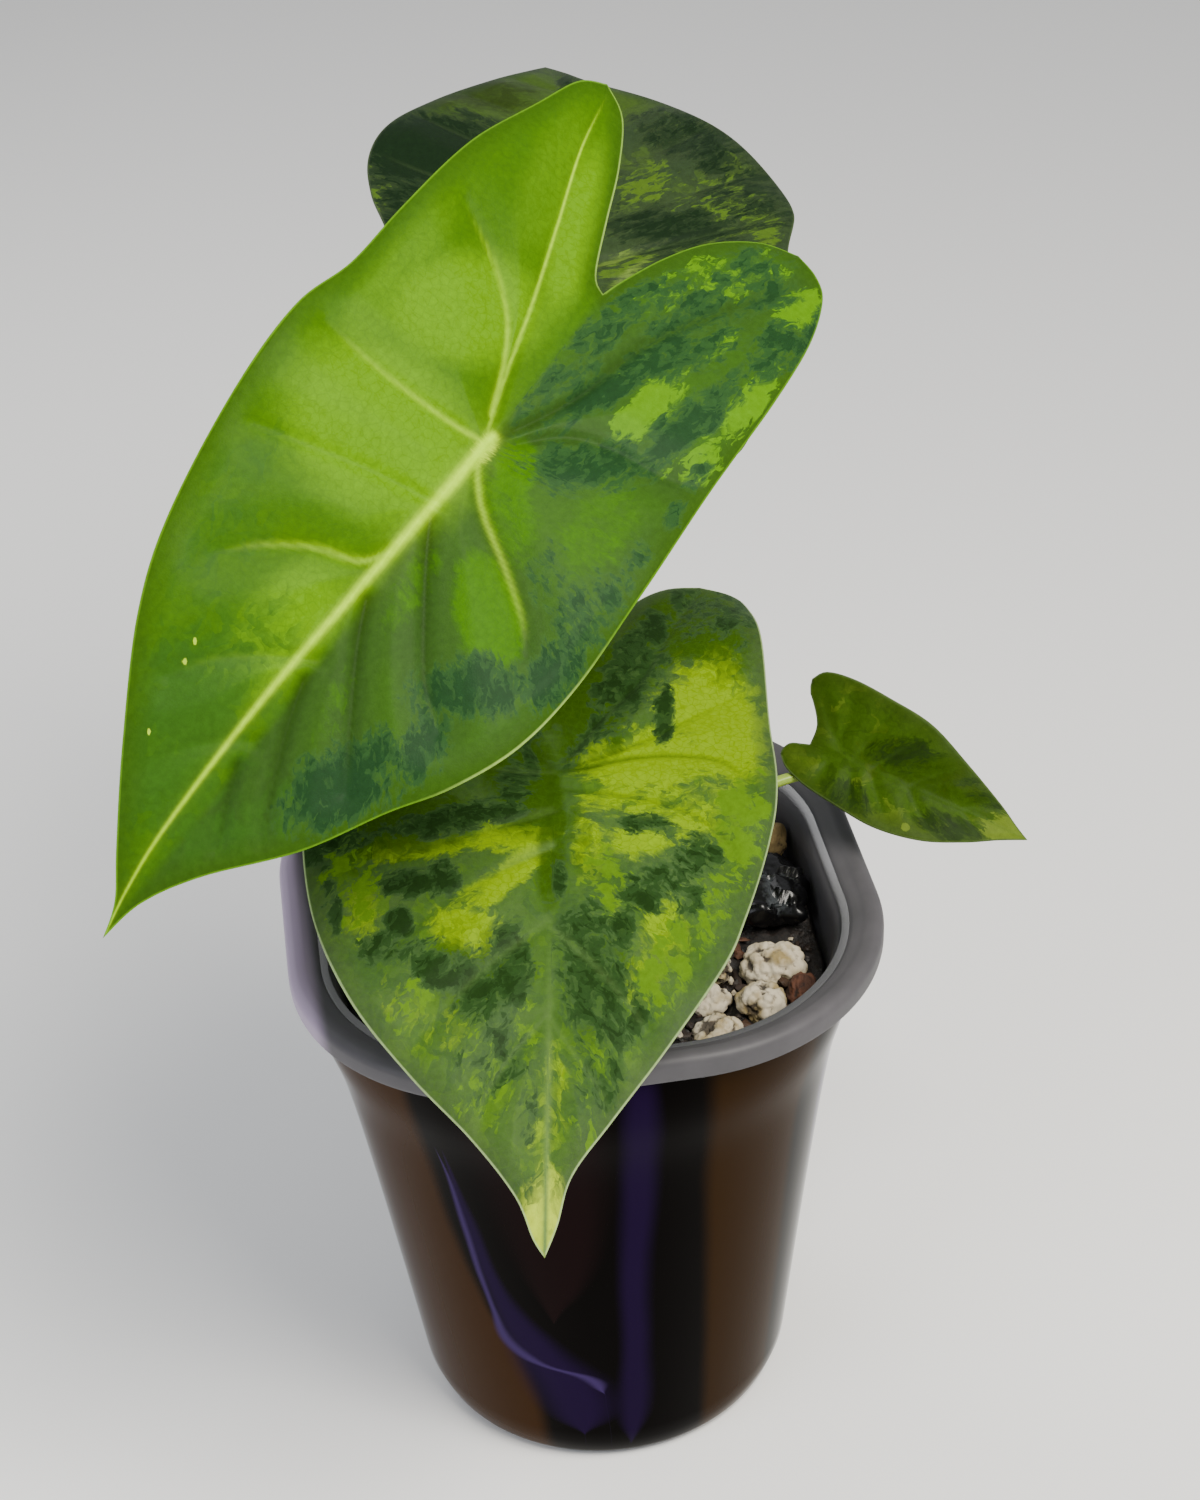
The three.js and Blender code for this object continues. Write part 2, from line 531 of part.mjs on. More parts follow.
// Round, tapering petiole from the stem to just under its blade, which it meets square on.
function petioleGeometry(spec) {
  const leaf = LEAVES[spec.leaf];
  const frame = bladeFrame(leaf);
  const depth = BLADE.thickness / 2 + BLADE.rib * Math.min(1, frame.length / FULL_SIZE) + RIB_MIN + GAP + 0.1;
  const end = frame.attach.clone().addScaledVector(frame.n, -depth);
  const before = end.clone().addScaledVector(frame.n, -spec.reach);
  const curve = new THREE.CatmullRomCurve3([...spec.path.map(v3), before, end], false, "centripetal");
  const frames = curve.computeFrenetFrames(spec.steps, false);
  const rings = Array.from({ length: spec.steps + 1 }, (_, i) => {
    const share = i / spec.steps;
    const across = frames.normals[i];
    return ring(curve.getPointAt(share), across, frames.binormals[i], along(spec.radii, share), PETIOLE_SIDES);
  });
  // The foot stands flat on the stem.
  rings[0].forEach((p) => p.setZ(spec.path[0][2]));
  return loft(rings);
}

// Rough lump with flattened faces, or its bed in the mix when "extra" is the clearance.
function lumpGeometry(lump, extra = 0) {
  const ball = bare(new THREE.IcosahedronGeometry(1, 1));
  const random = seeded(lump.seed);
  const p = ball.attributes.position;
  const roughness = LUMP_KINDS[lump.kind].rough;
  const at = new THREE.Vector3();
  for (let i = 0; i < p.count; i++) {
    at.fromBufferAttribute(p, i).multiplyScalar(1 + roughness * (2 * random() - 1));
    at.multiply(v3(lump.size).multiplyScalar(0.5));
    p.setXYZ(i, at.x, at.y, at.z);
  }
  ball.rotateZ(THREE.MathUtils.degToRad(lump.turn));
  ball.computeVertexNormals();
  const n = ball.attributes.normal;
  for (let i = 0; i < p.count; i++) {
    p.setXYZ(i, p.getX(i) + n.getX(i) * extra, p.getY(i) + n.getY(i) * extra, p.getZ(i) + n.getZ(i) * extra);
  }
  ball.translate(...lump.at);
  return ball;
}

// Lumps in sight first, then drawn ones wherever they stay clear of the stem, the wall and each other.
function allLumps() {
  const lumps = [];
  const place = (kind, [x, y], size, turn) => {
    const z = mixSurface(x, y) + size[2] * LUMP_RISE;
    lumps.push({ kind, at: [x, y, z], size, turn, seed: 100 + 17 * lumps.length });
  };
  for (const lump of LUMPS) place(...lump);
  const { kinds, count, clearOfStem, clearOfWall, apart } = DRAWN_LUMPS;
  const [near, far] = DRAWN_LUMPS.ring;
  const [small, large] = DRAWN_LUMPS.size;
  const random = seeded(DRAWN_LUMPS.seed);
  for (let tries = 0; tries < 400 && lumps.length < LUMPS.length + count; tries++) {
    const turn = random() * 2 * Math.PI;
    const out = near + (far - near) * Math.sqrt(random());
    const at = [out * Math.cos(turn), out * Math.sin(turn)];
    const size = [0, 0, 0].map(() => small + (large - small) * random());
    const reach = Math.max(size[0], size[1]) / 2;
    const clear = lumps.every((l) => Math.hypot(l.at[0] - at[0], l.at[1] - at[1])
      > reach + Math.max(l.size[0], l.size[1]) / 2 + apart);
    if (!clear || out + reach > clearOfWall || out - reach < clearOfStem) continue;
    place(kinds[lumps.length % kinds.length], at, size, random() * 180);
  }
  return lumps;
}

const part = new THREE.Group();

function add(name, geometry, color, roughness, extras = {}) {
  const material = new THREE.MeshStandardMaterial({ color, roughness, metalness: 0, ...extras });
  const mesh = new THREE.Mesh(geometry, material);
  mesh.name = name;
  part.add(mesh);
  return mesh;
}

add("outer_pot", outerPot(), 0x120e10, 0.06).rotation.z = POT_TURN;
add("nursery_pot", nurseryPot(), 0x8d8b90, 0.45, { transparent: true, opacity: 0.6 }).rotation.z = POT_TURN;

const lumps = allLumps();
let mix = solidOf(mixFill()).subtract(solidOf(stemShape(GAP, 20)));
for (const lump of lumps) mix = mix.subtract(solidOf(lumpGeometry(lump, GAP + 0.1)));
add("soil", geometryOf(mix), 0x231a14, 0.8);

const counts = {};
for (const lump of lumps) {
  const { color, roughness } = LUMP_KINDS[lump.kind];
  counts[lump.kind] = (counts[lump.kind] ?? 0) + 1;
  add(`${lump.kind}_${counts[lump.kind]}`, lumpGeometry(lump), color, roughness);
}

add("stem", stemShape(), 0x7a6a48, 0.8);
const LEAF_COLORS = { leaf_1: 0x8fae3c, leaf_2: 0x3d5c3c, leaf_3: 0x7fa043, leaf_4: 0x3f6a22 };
for (const [name, spec] of Object.entries(PETIOLES)) add(name, petioleGeometry(spec), 0x8fa04a, 0.5);
for (const [name, leaf] of Object.entries(LEAVES)) add(name, bladeGeometry(leaf), LEAF_COLORS[name], 0.55);

export default part;
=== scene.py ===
# %% [markdown]
# # A potted, variegated alocasia
# The plant is a young frydek alocasia: four arrow-shaped blades on arching petioles, in a chunky
# aroid mix. The mix fills a frosted liner, and the liner hangs in a glossy, almost black pot.
# The first cell loads the solids. They stay where they are, and every finer piece made below stands
# exactly where its solid stands.

import math
import random

import bmesh
import bpy
import numpy as np
from mathutils import Matrix, Vector, noise
from mathutils.bvhtree import BVHTree


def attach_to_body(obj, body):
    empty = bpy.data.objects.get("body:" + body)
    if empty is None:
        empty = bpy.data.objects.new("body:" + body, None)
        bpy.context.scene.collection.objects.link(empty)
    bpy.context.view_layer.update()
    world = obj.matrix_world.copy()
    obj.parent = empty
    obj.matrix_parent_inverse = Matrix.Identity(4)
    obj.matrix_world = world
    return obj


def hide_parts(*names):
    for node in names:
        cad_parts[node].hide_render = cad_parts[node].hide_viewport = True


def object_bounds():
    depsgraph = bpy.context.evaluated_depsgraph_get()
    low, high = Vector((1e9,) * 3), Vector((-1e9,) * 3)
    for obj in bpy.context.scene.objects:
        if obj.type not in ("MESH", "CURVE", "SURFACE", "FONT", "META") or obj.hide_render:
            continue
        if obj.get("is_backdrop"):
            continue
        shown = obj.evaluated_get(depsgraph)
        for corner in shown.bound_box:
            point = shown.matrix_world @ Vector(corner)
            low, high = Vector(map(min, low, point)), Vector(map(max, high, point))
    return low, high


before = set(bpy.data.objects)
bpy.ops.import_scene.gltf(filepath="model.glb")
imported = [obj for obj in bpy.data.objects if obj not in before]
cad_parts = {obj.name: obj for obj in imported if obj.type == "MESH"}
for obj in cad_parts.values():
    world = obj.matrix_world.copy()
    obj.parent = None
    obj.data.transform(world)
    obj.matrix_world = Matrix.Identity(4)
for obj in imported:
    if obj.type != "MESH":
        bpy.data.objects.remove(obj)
cad_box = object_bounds()
print("solids:", len(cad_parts))

# %% [markdown]
# ## Units, colours and nodes
# The sizes below are in millimetres, as a grower or a pot maker would give them, and one factor
# turns them into Blender's metres. Colours are picked as sRGB hex values, the way they look on a
# screen, but a shader works with linear light, so one function converts them. Materials are built
# from nodes. One small function adds a node with its settings and its links, and short ones on top
# of it cover what every finish needs: noise, arithmetic, a change of range, a blend and a bump.

# %% Units, colours and nodes
MM = 0.001


def linear(hex_colour):
    """Linear RGBA of an sRGB hex colour."""
    parts = [int(hex_colour[i:i + 2], 16) / 255 for i in (1, 3, 5)]
    return (*[c / 12.92 if c <= 0.04045 else ((c + 0.055) / 1.055) ** 2.4 for c in parts], 1)


def add(tree, kind, inputs=None, **settings):
    """Adds a node. Its inputs are given by name or number, each as a value or as a socket to link."""
    made = tree.nodes.new(kind)
    for name, value in settings.items():
        setattr(made, name, value)
    for key, value in (inputs or {}).items():
        if isinstance(value, bpy.types.NodeSocket):
            tree.links.new(value, made.inputs[key])
        else:
            made.inputs[key].default_value = value
    return made


def new_material(name):
    """An empty material, its node tree and its surface shader."""
    material = bpy.data.materials.new(name)
    material.use_nodes = True
    return material, material.node_tree, material.node_tree.nodes["Principled BSDF"]


def finish_surface(tree, shader, colour, roughness, **values):
    """Links or sets the shader's colour and roughness, and sets its constant values."""
    for key, value in {"Base Color": colour, "Roughness": roughness, **values}.items():
        if isinstance(value, bpy.types.NodeSocket):
            tree.links.new(value, shader.inputs[key])
        else:
            shader.inputs[key].default_value = value


def stored(tree, name, output="Fac"):
    """What a mesh keeps at each point under this name."""
    return add(tree, "ShaderNodeAttribute", attribute_name=name).outputs[output]


def noisy(tree, place, scale, detail, roughness=0.5):
    """Soft noise around 0.5, with this many grains to a unit of the place."""
    return add(tree, "ShaderNodeTexNoise", {"Vector": place, "Scale": scale, "Detail": detail,
                                            "Roughness": roughness}).outputs["Fac"]


def stretched(tree, place, scale, shift=0.0):
    """A place scaled along each axis and then shifted, so that the noise read there is drawn out."""
    return add(tree, "ShaderNodeMapping", {"Vector": place, "Scale": scale, "Location": (shift,) * 3}).outputs["Vector"]


def maths(tree, operation, *values):
    return add(tree, "ShaderNodeMath", dict(enumerate(values)), operation=operation).outputs[0]


def mapped(tree, value, low, high, to_low=0.0, to_high=1.0, smooth=False):
    """The value moved from one range to another and held within it, with soft ends if asked."""
    made = add(tree, "ShaderNodeMapRange", {"Value": value, "From Min": low, "From Max": high, "To Min": to_low,
                                            "To Max": to_high})
    made.interpolation_type = "SMOOTHSTEP" if smooth else "LINEAR"
    return made.outputs["Result"]


def mixed(tree, amount, low, high, kind="RGBA"):
    """Two colours, or two numbers if the kind is FLOAT, blended by an amount from 0 to 1."""
    first = {"RGBA": 6, "FLOAT": 2}[kind]
    made = add(tree, "ShaderNodeMix", {0: amount, first: low, first + 1: high}, data_type=kind)
    return made.outputs[{"RGBA": 2, "FLOAT": 0}[kind]]


def bumped(tree, height, strength, depth):
    """A surface direction tilted as if the height stood out by this depth in metres."""
    return add(tree, "ShaderNodeBump", {"Height": height, "Strength": strength, "Distance": depth}).outputs["Normal"]


print("helpers ready")

# %% [markdown]
# ## The camera
# The photograph looks down on the plant from above the pot's front, a little turned in the hand.
# Its place was worked out from the pot: the rim gives the viewing height, and the way the walls
# close in towards the base gives the distance. A long lens keeps the same soft perspective.

# %% The camera
CAMERA_TARGET = Vector((5.72, 0, 133.6)) * MM
CAMERA_DISTANCE = 440.25 * MM
CAMERA_ELEVATION = math.radians(33.75)
CAMERA_ROLL = math.radians(3.49)
LENS_MM = 63.83
SENSOR_MM = 36


def place_camera():
    back = Vector((0, -math.cos(CAMERA_ELEVATION), math.sin(CAMERA_ELEVATION)))
    right = Vector((1, 0, 0))
    up = back.cross(right)
    c, s = math.cos(CAMERA_ROLL), math.sin(CAMERA_ROLL)
    axes = Matrix((c * right - s * up, s * right + c * up, back)).transposed()
    data = bpy.data.cameras.new("camera")
    data.lens, data.sensor_fit, data.sensor_height = LENS_MM, "VERTICAL", SENSOR_MM
    camera = bpy.data.objects.new("camera", data)
    camera.matrix_world = Matrix.Translation(CAMERA_TARGET + back * CAMERA_DISTANCE) @ axes.to_4x4()
    bpy.context.scene.collection.objects.link(camera)
    bpy.context.scene.camera = camera
    return camera


camera = place_camera()
print("camera at", tuple(round(v / MM) for v in camera.location), "mm")

# %% [markdown]
# ## The studio
# The plant stands on a plain pale floor under soft light, as for a shop's picture. One broad lamp
# above the viewer's right shoulder models the blades, a second fills from the left, and a pale sky
# lifts the shadows. Broad lamps give the pots long soft streaks instead of hard spots.

# %% The studio
FLOOR_SIZE = 6.0  # metres
LAMPS = [  # name, place in mm, side in mm, watts, colour
    ("key", (260, -330, 700), 340, 10.0, "#fffaf0"),
    ("fill", (-520, -420, 380), 420, 2.0, "#f2f6ff"),
    ("rear", (-420, 420, 560), 420, 1.2, "#ffffff"),
]
SKY = ("#f4f6fa", 0.5)


def build_studio():
    material, tree, shader = new_material("pale_paper_floor")
    finish_surface(tree, shader, linear("#f6f6f5"), 0.9)
    bpy.ops.mesh.primitive_plane_add(size=FLOOR_SIZE)
    floor = bpy.context.object
    floor.name = "floor"
    floor.data.materials.append(material)
    floor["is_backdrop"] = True
    for name, place, side, watts, colour in LAMPS:
        data = bpy.data.lights.new(name, "AREA")
        data.shape, data.size, data.energy = "SQUARE", side * MM, watts
        data.color = linear(colour)[:3]
        lamp = bpy.data.objects.new(name, data)
        lamp.location = Vector(place) * MM
        lamp.rotation_euler = (CAMERA_TARGET - lamp.location).to_track_quat("-Z", "Y").to_euler()
        bpy.context.scene.collection.objects.link(lamp)
    world = bpy.data.worlds.new("pale_sky")
    world.use_nodes = True
    world.node_tree.nodes["Background"].inputs["Color"].default_value = linear(SKY[0])
    world.node_tree.nodes["Background"].inputs["Strength"].default_value = SKY[1]
    bpy.context.scene.world = world


build_studio()
print("lamps:", len(LAMPS))

# %% [markdown]
# ## From arrays to pieces
# Every finer mesh below is worked out as an array of points and a list of faces. The first function
# makes the object, rounds its shading, puts it on the plant's one body and hides the solids it stands
# for. Most shapes are rows of points, such as rings round a pot, so others weave faces between rows.

# %% From arrays to pieces
def make_piece(name, points_mm, faces, material, replaces=()):
    """A piece made of points in mm and of faces, which are a list or an array of vertex numbers."""
    faces = faces if isinstance(faces, list) else faces.tolist()
    mesh = bpy.data.meshes.new(name)
    mesh.from_pydata((np.asarray(points_mm, float) * MM).tolist(), [], faces)
    mesh.polygons.foreach_set("use_smooth", np.ones(len(mesh.polygons), bool))
    mesh.materials.append(material)
    mesh.update()
    piece = bpy.data.objects.new(name, mesh)
    bpy.context.scene.collection.objects.link(piece)
    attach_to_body(piece, "root")
    if replaces:
        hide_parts(*replaces)
    return piece


def weave(rows, closed=True):
    """Quads between neighbouring rows of vertex numbers, which close on themselves if asked."""
    rows = np.asarray(rows)
    right = np.roll(rows, -1, axis=1) if closed else rows[:, 1:]
    left = rows if closed else rows[:, :-1]
    return np.stack([left[:-1], right[:-1], right[1:], left[1:]], -1).reshape(-1, 4)


def halved(quads):
    """Each quad as two triangles."""
    return np.vstack([quads[:, [0, 1, 2]], quads[:, [0, 2, 3]]])


def end_caps(rows, foot, top):
    """Triangles that close the first ring with one point below it and the last ring with one above it."""
    after, ones = np.roll(rows, -1, axis=1), np.ones(rows.shape[1], int)
    return np.vstack([np.stack([foot * ones, after[0], rows[0]], -1), np.stack([top * ones, rows[-1], after[-1]], -1)])


def run_along(line):
    """Distance travelled along a line at each of its points."""
    return np.concatenate([[0], np.cumsum(np.linalg.norm(np.diff(line, axis=0), axis=1))])


def value_along(pairs, at):
    """Values read off a list of (position, value) pairs."""
    return np.interp(at, [p for p, _ in pairs], [v for _, v in pairs])


print("one row of four points gives", len(weave(np.arange(8).reshape(2, 4))), "faces")

# %% [markdown]
# ## The two pots
# Both pots are injection-moulded: a round base that widens into a square with round corners. The
# liner is thin, frosted polypropylene, squarer than the outer pot, and its rolled rim hangs over the
# outer pot's edge. A profile is turned round the axis as on a lathe, and each ring is then stretched
# to the rounded square. Two hundred steps to a turn keep the glossy wall free of flats. A softness of
# 1 is a circle and 0 is a sharp square, and each pot has one at its base and one at its top.

# %% Pot shapes
POT_TURN = math.radians(6.8)
POT_HEIGHT = 107
POT_STEPS = 200
GAP = 0.3
OUTER_SOFTNESS = (1.0, 0.9)
LINER_SOFTNESS = (0.9, 0.74)
OUTER_WALL, OUTER_FLOOR, OUTER_TOP = 1.8, 2.2, 104.6
OUTER_FLARE = [(6, 34.5), (50, 39.7), (77, 43.4), (92, 46.9), (OUTER_TOP, 48.3)]
LINER_WALL, LINER_FLOOR, LINER_PLAY = 1.0, 1.2, 0.4
RIM_HALF, RIM_LIP, RIM_SKIRT, RIM_BAND = 50, 46.6, 1.2, 4.4
MIX_TOP = 91.5  # where the potting mix meets the liner


def stretch(p1, p2, v1, v2, t):
    """Points of the cubic curve that leaves p1 with speed v1 and reaches p2 with speed v2."""
    return (2 * p1 - 2 * p2 + v1 + v2) * t**3 + (3 * p2 - 3 * p1 - 2 * v1 - v2) * t**2 + v1 * t + p1


def spline(points, steps=40):
    """Dense points along the smooth curve through the given ones."""
    p = np.array(points, float)
    padded = np.vstack([p[:1], p, p[-1:]])
    t = np.linspace(0, 1, steps, endpoint=False)[:, None]
    pieces = [stretch(p1, p2, (p2 - p0) / 2, (p3 - p1) / 2, t)
              for p0, p1, p2, p3 in zip(padded, padded[1:], padded[2:], padded[3:])]
    return np.vstack([*pieces, p[-1:]])


def square_reach(angle, softness):
    """Distance from the centre of a rounded square of half width 1 to its outline."""
    quarter = math.pi / 2
    off = np.abs((angle % quarter + quarter / 2) % quarter - quarter / 2)
    core = 1 - softness
    across = core * (np.cos(off) - np.sin(off))
    corner = core * (np.cos(off) + np.sin(off)) + np.sqrt(np.maximum(softness**2 - across**2, 0))
    return np.where(np.tan(off) <= core, 1 / np.cos(off), corner)


def softness_at(softness, z):
    return softness[0] + (softness[1] - softness[0]) * np.clip(np.asarray(z) / POT_HEIGHT, 0, 1)


FLARE_CURVE = spline(OUTER_FLARE)


def outer_half(z):
    return np.interp(z, FLARE_CURVE[:, 0], FLARE_CURVE[:, 1])


def liner_half(z):
    corner = math.pi / 4
    room = (outer_half(z) - OUTER_WALL) * square_reach(corner, softness_at(OUTER_SOFTNESS, z)) - LINER_PLAY
    return room / square_reach(corner, softness_at(LINER_SOFTNESS, z))


def turned(profile, softness, steps=POT_STEPS):
    """Points and faces of a closed profile of (half width, z) turned into a rounded-square pot."""
    profile = np.array(profile, float)
    angles = np.linspace(0, 2 * math.pi, steps, endpoint=False)
    reach = square_reach(angles[None, :], softness_at(softness, profile[:, 1])[:, None])
    out = profile[:, :1] * reach
    points = np.stack([out * np.cos(angles + POT_TURN), out * np.sin(angles + POT_TURN),
                       np.repeat(profile[:, 1:], steps, axis=1)], -1)
    rows = np.arange(points.shape[0] * steps).reshape(-1, steps)
    return points.reshape(-1, 3), weave(rows)


def arc(centre, radius, start, end, count=7):
    """Points of a round edge, from one angle to another in degrees."""
    turn = np.radians(np.linspace(start, end, count))
    return [(centre[0] + radius * math.cos(a), centre[1] + radius * math.sin(a)) for a in turn]


def wall(half, low, high, count):
    return [(float(half(z)), z) for z in np.linspace(low, high, count)]


print("outer pot is", round(2 * float(outer_half(OUTER_TOP))), "mm wide at the top")

# %% [markdown]
# ## The glossy pot's finish
# The outer pot is gloss-moulded polystyrene, almost black. The brown and indigo bands on it are painted
# reflections of the room, drawn into the plastic's own colour. A polished mould leaves a mirror-like skin,
# so the roughness is close to nothing. Clear plastic resins have an IOR near 1.5. The tint of the
# reflection keeps the pale floor from turning the black to grey, as smoke-coloured plastic does.

# %% The glossy pot's finish
REFLECTION_BAND_TOP = 110  # mm, where the curves of the painted reflection bands end, just above the rim
REFLECTION_BAND_FLOW = 0.1  # radians by which a slow noise bends the painted reflection bands
REFLECTION_BAND_EDGE = 0.004  # radians over which even the hardest edge fades
PAINTED_REFLECTION_BANDS = [  # painted reflections: tone, how soft its edge is, then height in mm, place and half width in degrees round the pot
    ("#301c08", 0.15, [(0, 212, 42), (29, 216, 33), (42, 212, 29), (72, 208, 28), (110, 206, 29)]),
    ("#261603", 0.30, [(0, 314, 16), (40, 312, 16), (70, 309, 16), (110, 308, 17)]),
    ("#110607", 0.60, [(40, 258, 0), (60, 260, 14), (110, 258, 20)]),
    ("#160729", 0.80, [(8, 262, 0), (20, 260, 17), (32, 252, 12), (46, 244, 5), (66, 240, 3), (84, 238, 0)]),
    ("#352750", 0.90, [(20, 270, 0), (25, 265, 4), (29, 249, 4), (42, 241, 1.6), (72, 238, 1.2), (84, 236, 0)]),
    ("#150727", 0.80, [(4, 276, 0), (16, 278, 7), (34, 279.5, 6), (60, 280, 6), (90, 281, 5), (110, 281, 3)]),
    ("#2e2050", 0.50, [(50, 340, 0), (72, 339, 5), (92, 338, 6), (108, 337, 3)]),
    ("#21160a", 0.40, [(0, 126, 20), (50, 120, 24), (110, 116, 26)]),
    ("#1c1308", 0.30, [(0, 38, 10), (60, 42, 15), (110, 45, 14)]),
    ("#1d1138", 0.80, [(10, 82, 0), (30, 84, 5), (70, 90, 4), (96, 92, 0)]),
    ("#1d1138", 0.80, [(10, 172, 0), (26, 168, 7), (60, 160, 4), (92, 156, 0)]),
]


def along_height(tree, height, pairs, top):
    """An angle in radians read off (height, degrees) pairs, which the curve keeps as shares of top."""
    node = add(tree, "ShaderNodeFloatCurve", {"Value": height})
    line, places = node.mapping.curves[0], [(z / REFLECTION_BAND_TOP, value / top) for z, value in pairs]
    line.points[0].location, line.points[1].location = places[0], places[-1]
    for place in places[1:-1]:
        line.points.new(*place)
    for point in line.points:
        point.handle_type = "AUTO_CLAMPED"
    node.mapping.extend = "HORIZONTAL"
    node.mapping.update()
    return maths(tree, "MULTIPLY", node.outputs["Value"], math.radians(top))


def glossy_pot_material():
    material, tree, shader = new_material("black_gloss_polystyrene_painted_reflections")
    place = add(tree, "ShaderNodeTexCoord").outputs["Object"]
    axes = add(tree, "ShaderNodeSeparateXYZ", {"Vector": place}).outputs
    flow = noisy(tree, stretched(tree, place, (70, 70, 18)), 1.0, 2.0)
    turn = maths(tree, "MULTIPLY_ADD", flow, REFLECTION_BAND_FLOW, maths(tree, "ARCTAN2", axes["Y"], axes["X"]))
    height = mapped(tree, axes["Z"], 0.0, REFLECTION_BAND_TOP * MM)
    colour = linear("#020101")
    # each band is a painted reflection of the room, drawn into the base colour
    for tone, soft, path in PAINTED_REFLECTION_BANDS:
        middle = along_height(tree, height, [(z, place_) for z, place_, _ in path], 360)
        half = along_height(tree, height, [(z, half_) for z, _, half_ in path], 60)
        away = maths(tree, "SUBTRACT", turn, middle)
        away = maths(tree, "WRAP", away, math.pi + REFLECTION_BAND_FLOW / 2, REFLECTION_BAND_FLOW / 2 - math.pi)
        away = maths(tree, "ABSOLUTE", maths(tree, "SUBTRACT", away, REFLECTION_BAND_FLOW / 2))
        depth = maths(tree, "SUBTRACT", half, away)
        inside = maths(tree, "DIVIDE", depth, maths(tree, "MULTIPLY_ADD", half, soft, REFLECTION_BAND_EDGE))
        colour = mixed(tree, mapped(tree, inside, 0.0, 1.0, smooth=True), colour, linear(tone))
    finish_surface(tree, shader, colour, 0.03, **{"IOR": 1.5, "Specular IOR Level": 0.02,
                                                  "Specular Tint": linear("#a08468")})
    return material


def build_outer_pot():
    profile = [(0, 0), (28.6, 0), *arc((29.5, 4.2), 4.2, -84, -20), *wall(outer_half, 6, OUTER_TOP - 0.7, 36),
               *arc((float(outer_half(OUTER_TOP)) - 0.9, OUTER_TOP - 0.9), 0.9, 10, 170),
               *wall(lambda z: outer_half(z) - OUTER_WALL, 6, OUTER_TOP - 1.2, 30)[::-1],
               (float(outer_half(6)) - OUTER_WALL - 2.6, OUTER_FLOOR), (0, OUTER_FLOOR)]
    points, faces = turned(profile, OUTER_SOFTNESS)
    return make_piece("glossy_pot", points, faces, glossy_pot_material(), ["outer_pot"])


pot = build_outer_pot()
print("glossy pot faces:", len(pot.data.polygons))

# %% [markdown]
# ## The frosted liner
# The liner is thin-walled polypropylene, whose IOR is about 1.49. It scatters light inside and looks
# cloudy. Its colour is painted darker down the inner wall from the rolled rim towards the mix, as painted
# shade in the well. On the left the rim's skirt carries a painted pale lavender highlight. Handling and
# hard water leave faint smears, so the roughness varies in soft patches, and a fine noise near the mix
# gives the dirt.

# %% The frosted liner
def liner_material():
    material, tree, shader = new_material("frosted_polypropylene")
    place = add(tree, "ShaderNodeTexCoord").outputs["Object"]
    height = add(tree, "ShaderNodeSeparateXYZ", {"Vector": place}).outputs["Z"]
    left = add(tree, "ShaderNodeVectorMath", {0: place, 1: (-1, -0.15, 0)}, operation="DOT_PRODUCT").outputs["Value"]
    cloud, dirt = noisy(tree, place, 70.0, 5.0, 0.6), noisy(tree, place, 420.0, 4.0, 0.7)
    near_mix = maths(tree, "MULTIPLY", mapped(tree, dirt, 0.58, 0.68), mapped(tree, height, 100 * MM, MIX_TOP * MM))
    # painted pale lavender highlight on the left side of the rim's skirt
    painted_skirt_glow = maths(tree, "MULTIPLY", mapped(tree, left, 45.4 * MM, 48.2 * MM, 0.0, 0.8, smooth=True),
                  mapped(tree, height, 100.5 * MM, 102.5 * MM))
    colour = linear("#504f52")
    # the second tone darkens the wall from 103.5 mm down to 92.5 mm as painted shade in the well; the specks near the
    # mix are dirt
    for amount, tone in ((mapped(tree, cloud, 0.35, 0.7), "#5e5c60"),
                         (mapped(tree, height, 103.5 * MM, 92.5 * MM), "#3f3e43"),
                         (near_mix, "#2a221b"), (painted_skirt_glow, "#c0adc9")):
        colour = mixed(tree, amount, colour, linear(tone))
    finish_surface(tree, shader, colour, mapped(tree, cloud, 0.0, 1.0, 0.42, 0.55),
                   **{"IOR": 1.49, "Specular IOR Level": 0.12, "Transmission Weight": 0.25})
    return material


def build_liner():
    base = OUTER_FLOOR + GAP
    floor = base + LINER_FLOOR
    under = OUTER_TOP + GAP
    foot = POT_HEIGHT - RIM_BAND
    inner = lambda z: liner_half(z) - LINER_WALL
    profile = [(0, base), (float(liner_half(6)) - 3.6, base), (float(liner_half(6)) - 1, 4.8),
               *wall(liner_half, 8, under, 40), (RIM_HALF - RIM_SKIRT, under), (RIM_HALF - RIM_SKIRT, foot),
               (RIM_HALF - 0.4, foot - 0.05), (RIM_HALF - 0.1, foot + 0.3), (RIM_HALF, foot + 0.9),
               *arc((RIM_HALF - 1.6, POT_HEIGHT - 1.6), 1.6, 0, 90, 10), (RIM_LIP + 0.9, POT_HEIGHT - 0.12),
               (RIM_LIP + 0.2, POT_HEIGHT - 0.45), (RIM_LIP - 0.5, POT_HEIGHT - 1.0),
               (RIM_LIP - 1.3, under + 0.9), (RIM_LIP - 2.0, under + 0.1), (RIM_LIP - 2.5, under - 0.6),
               (float(inner(under)) + 0.5, under - 1.6), *wall(inner, 8, 101.5, 44)[::-1],
               (float(liner_half(6)) - 4.4, floor), (0, floor)]
    points, faces = turned(profile, LINER_SOFTNESS)
    return make_piece("frosted_liner", points, faces, liner_material(), ["nursery_pot"])


liner = build_liner()
print("liner faces:", len(liner.data.polygons))

# %% [markdown]
# ## Blade outlines
# An alocasia blade is an arrowhead: one midrib to the tip and a rib down each of the two back lobes,
# with the petiole joined on where the three ribs meet. Each half outline is given flat, as distances
# along the midrib and across it. "outer" runs from the lobe's end to the tip, and "sinus" from the
# notch between the lobes to the lobe's end. The blade is then folded, cupped, waved and drooped.

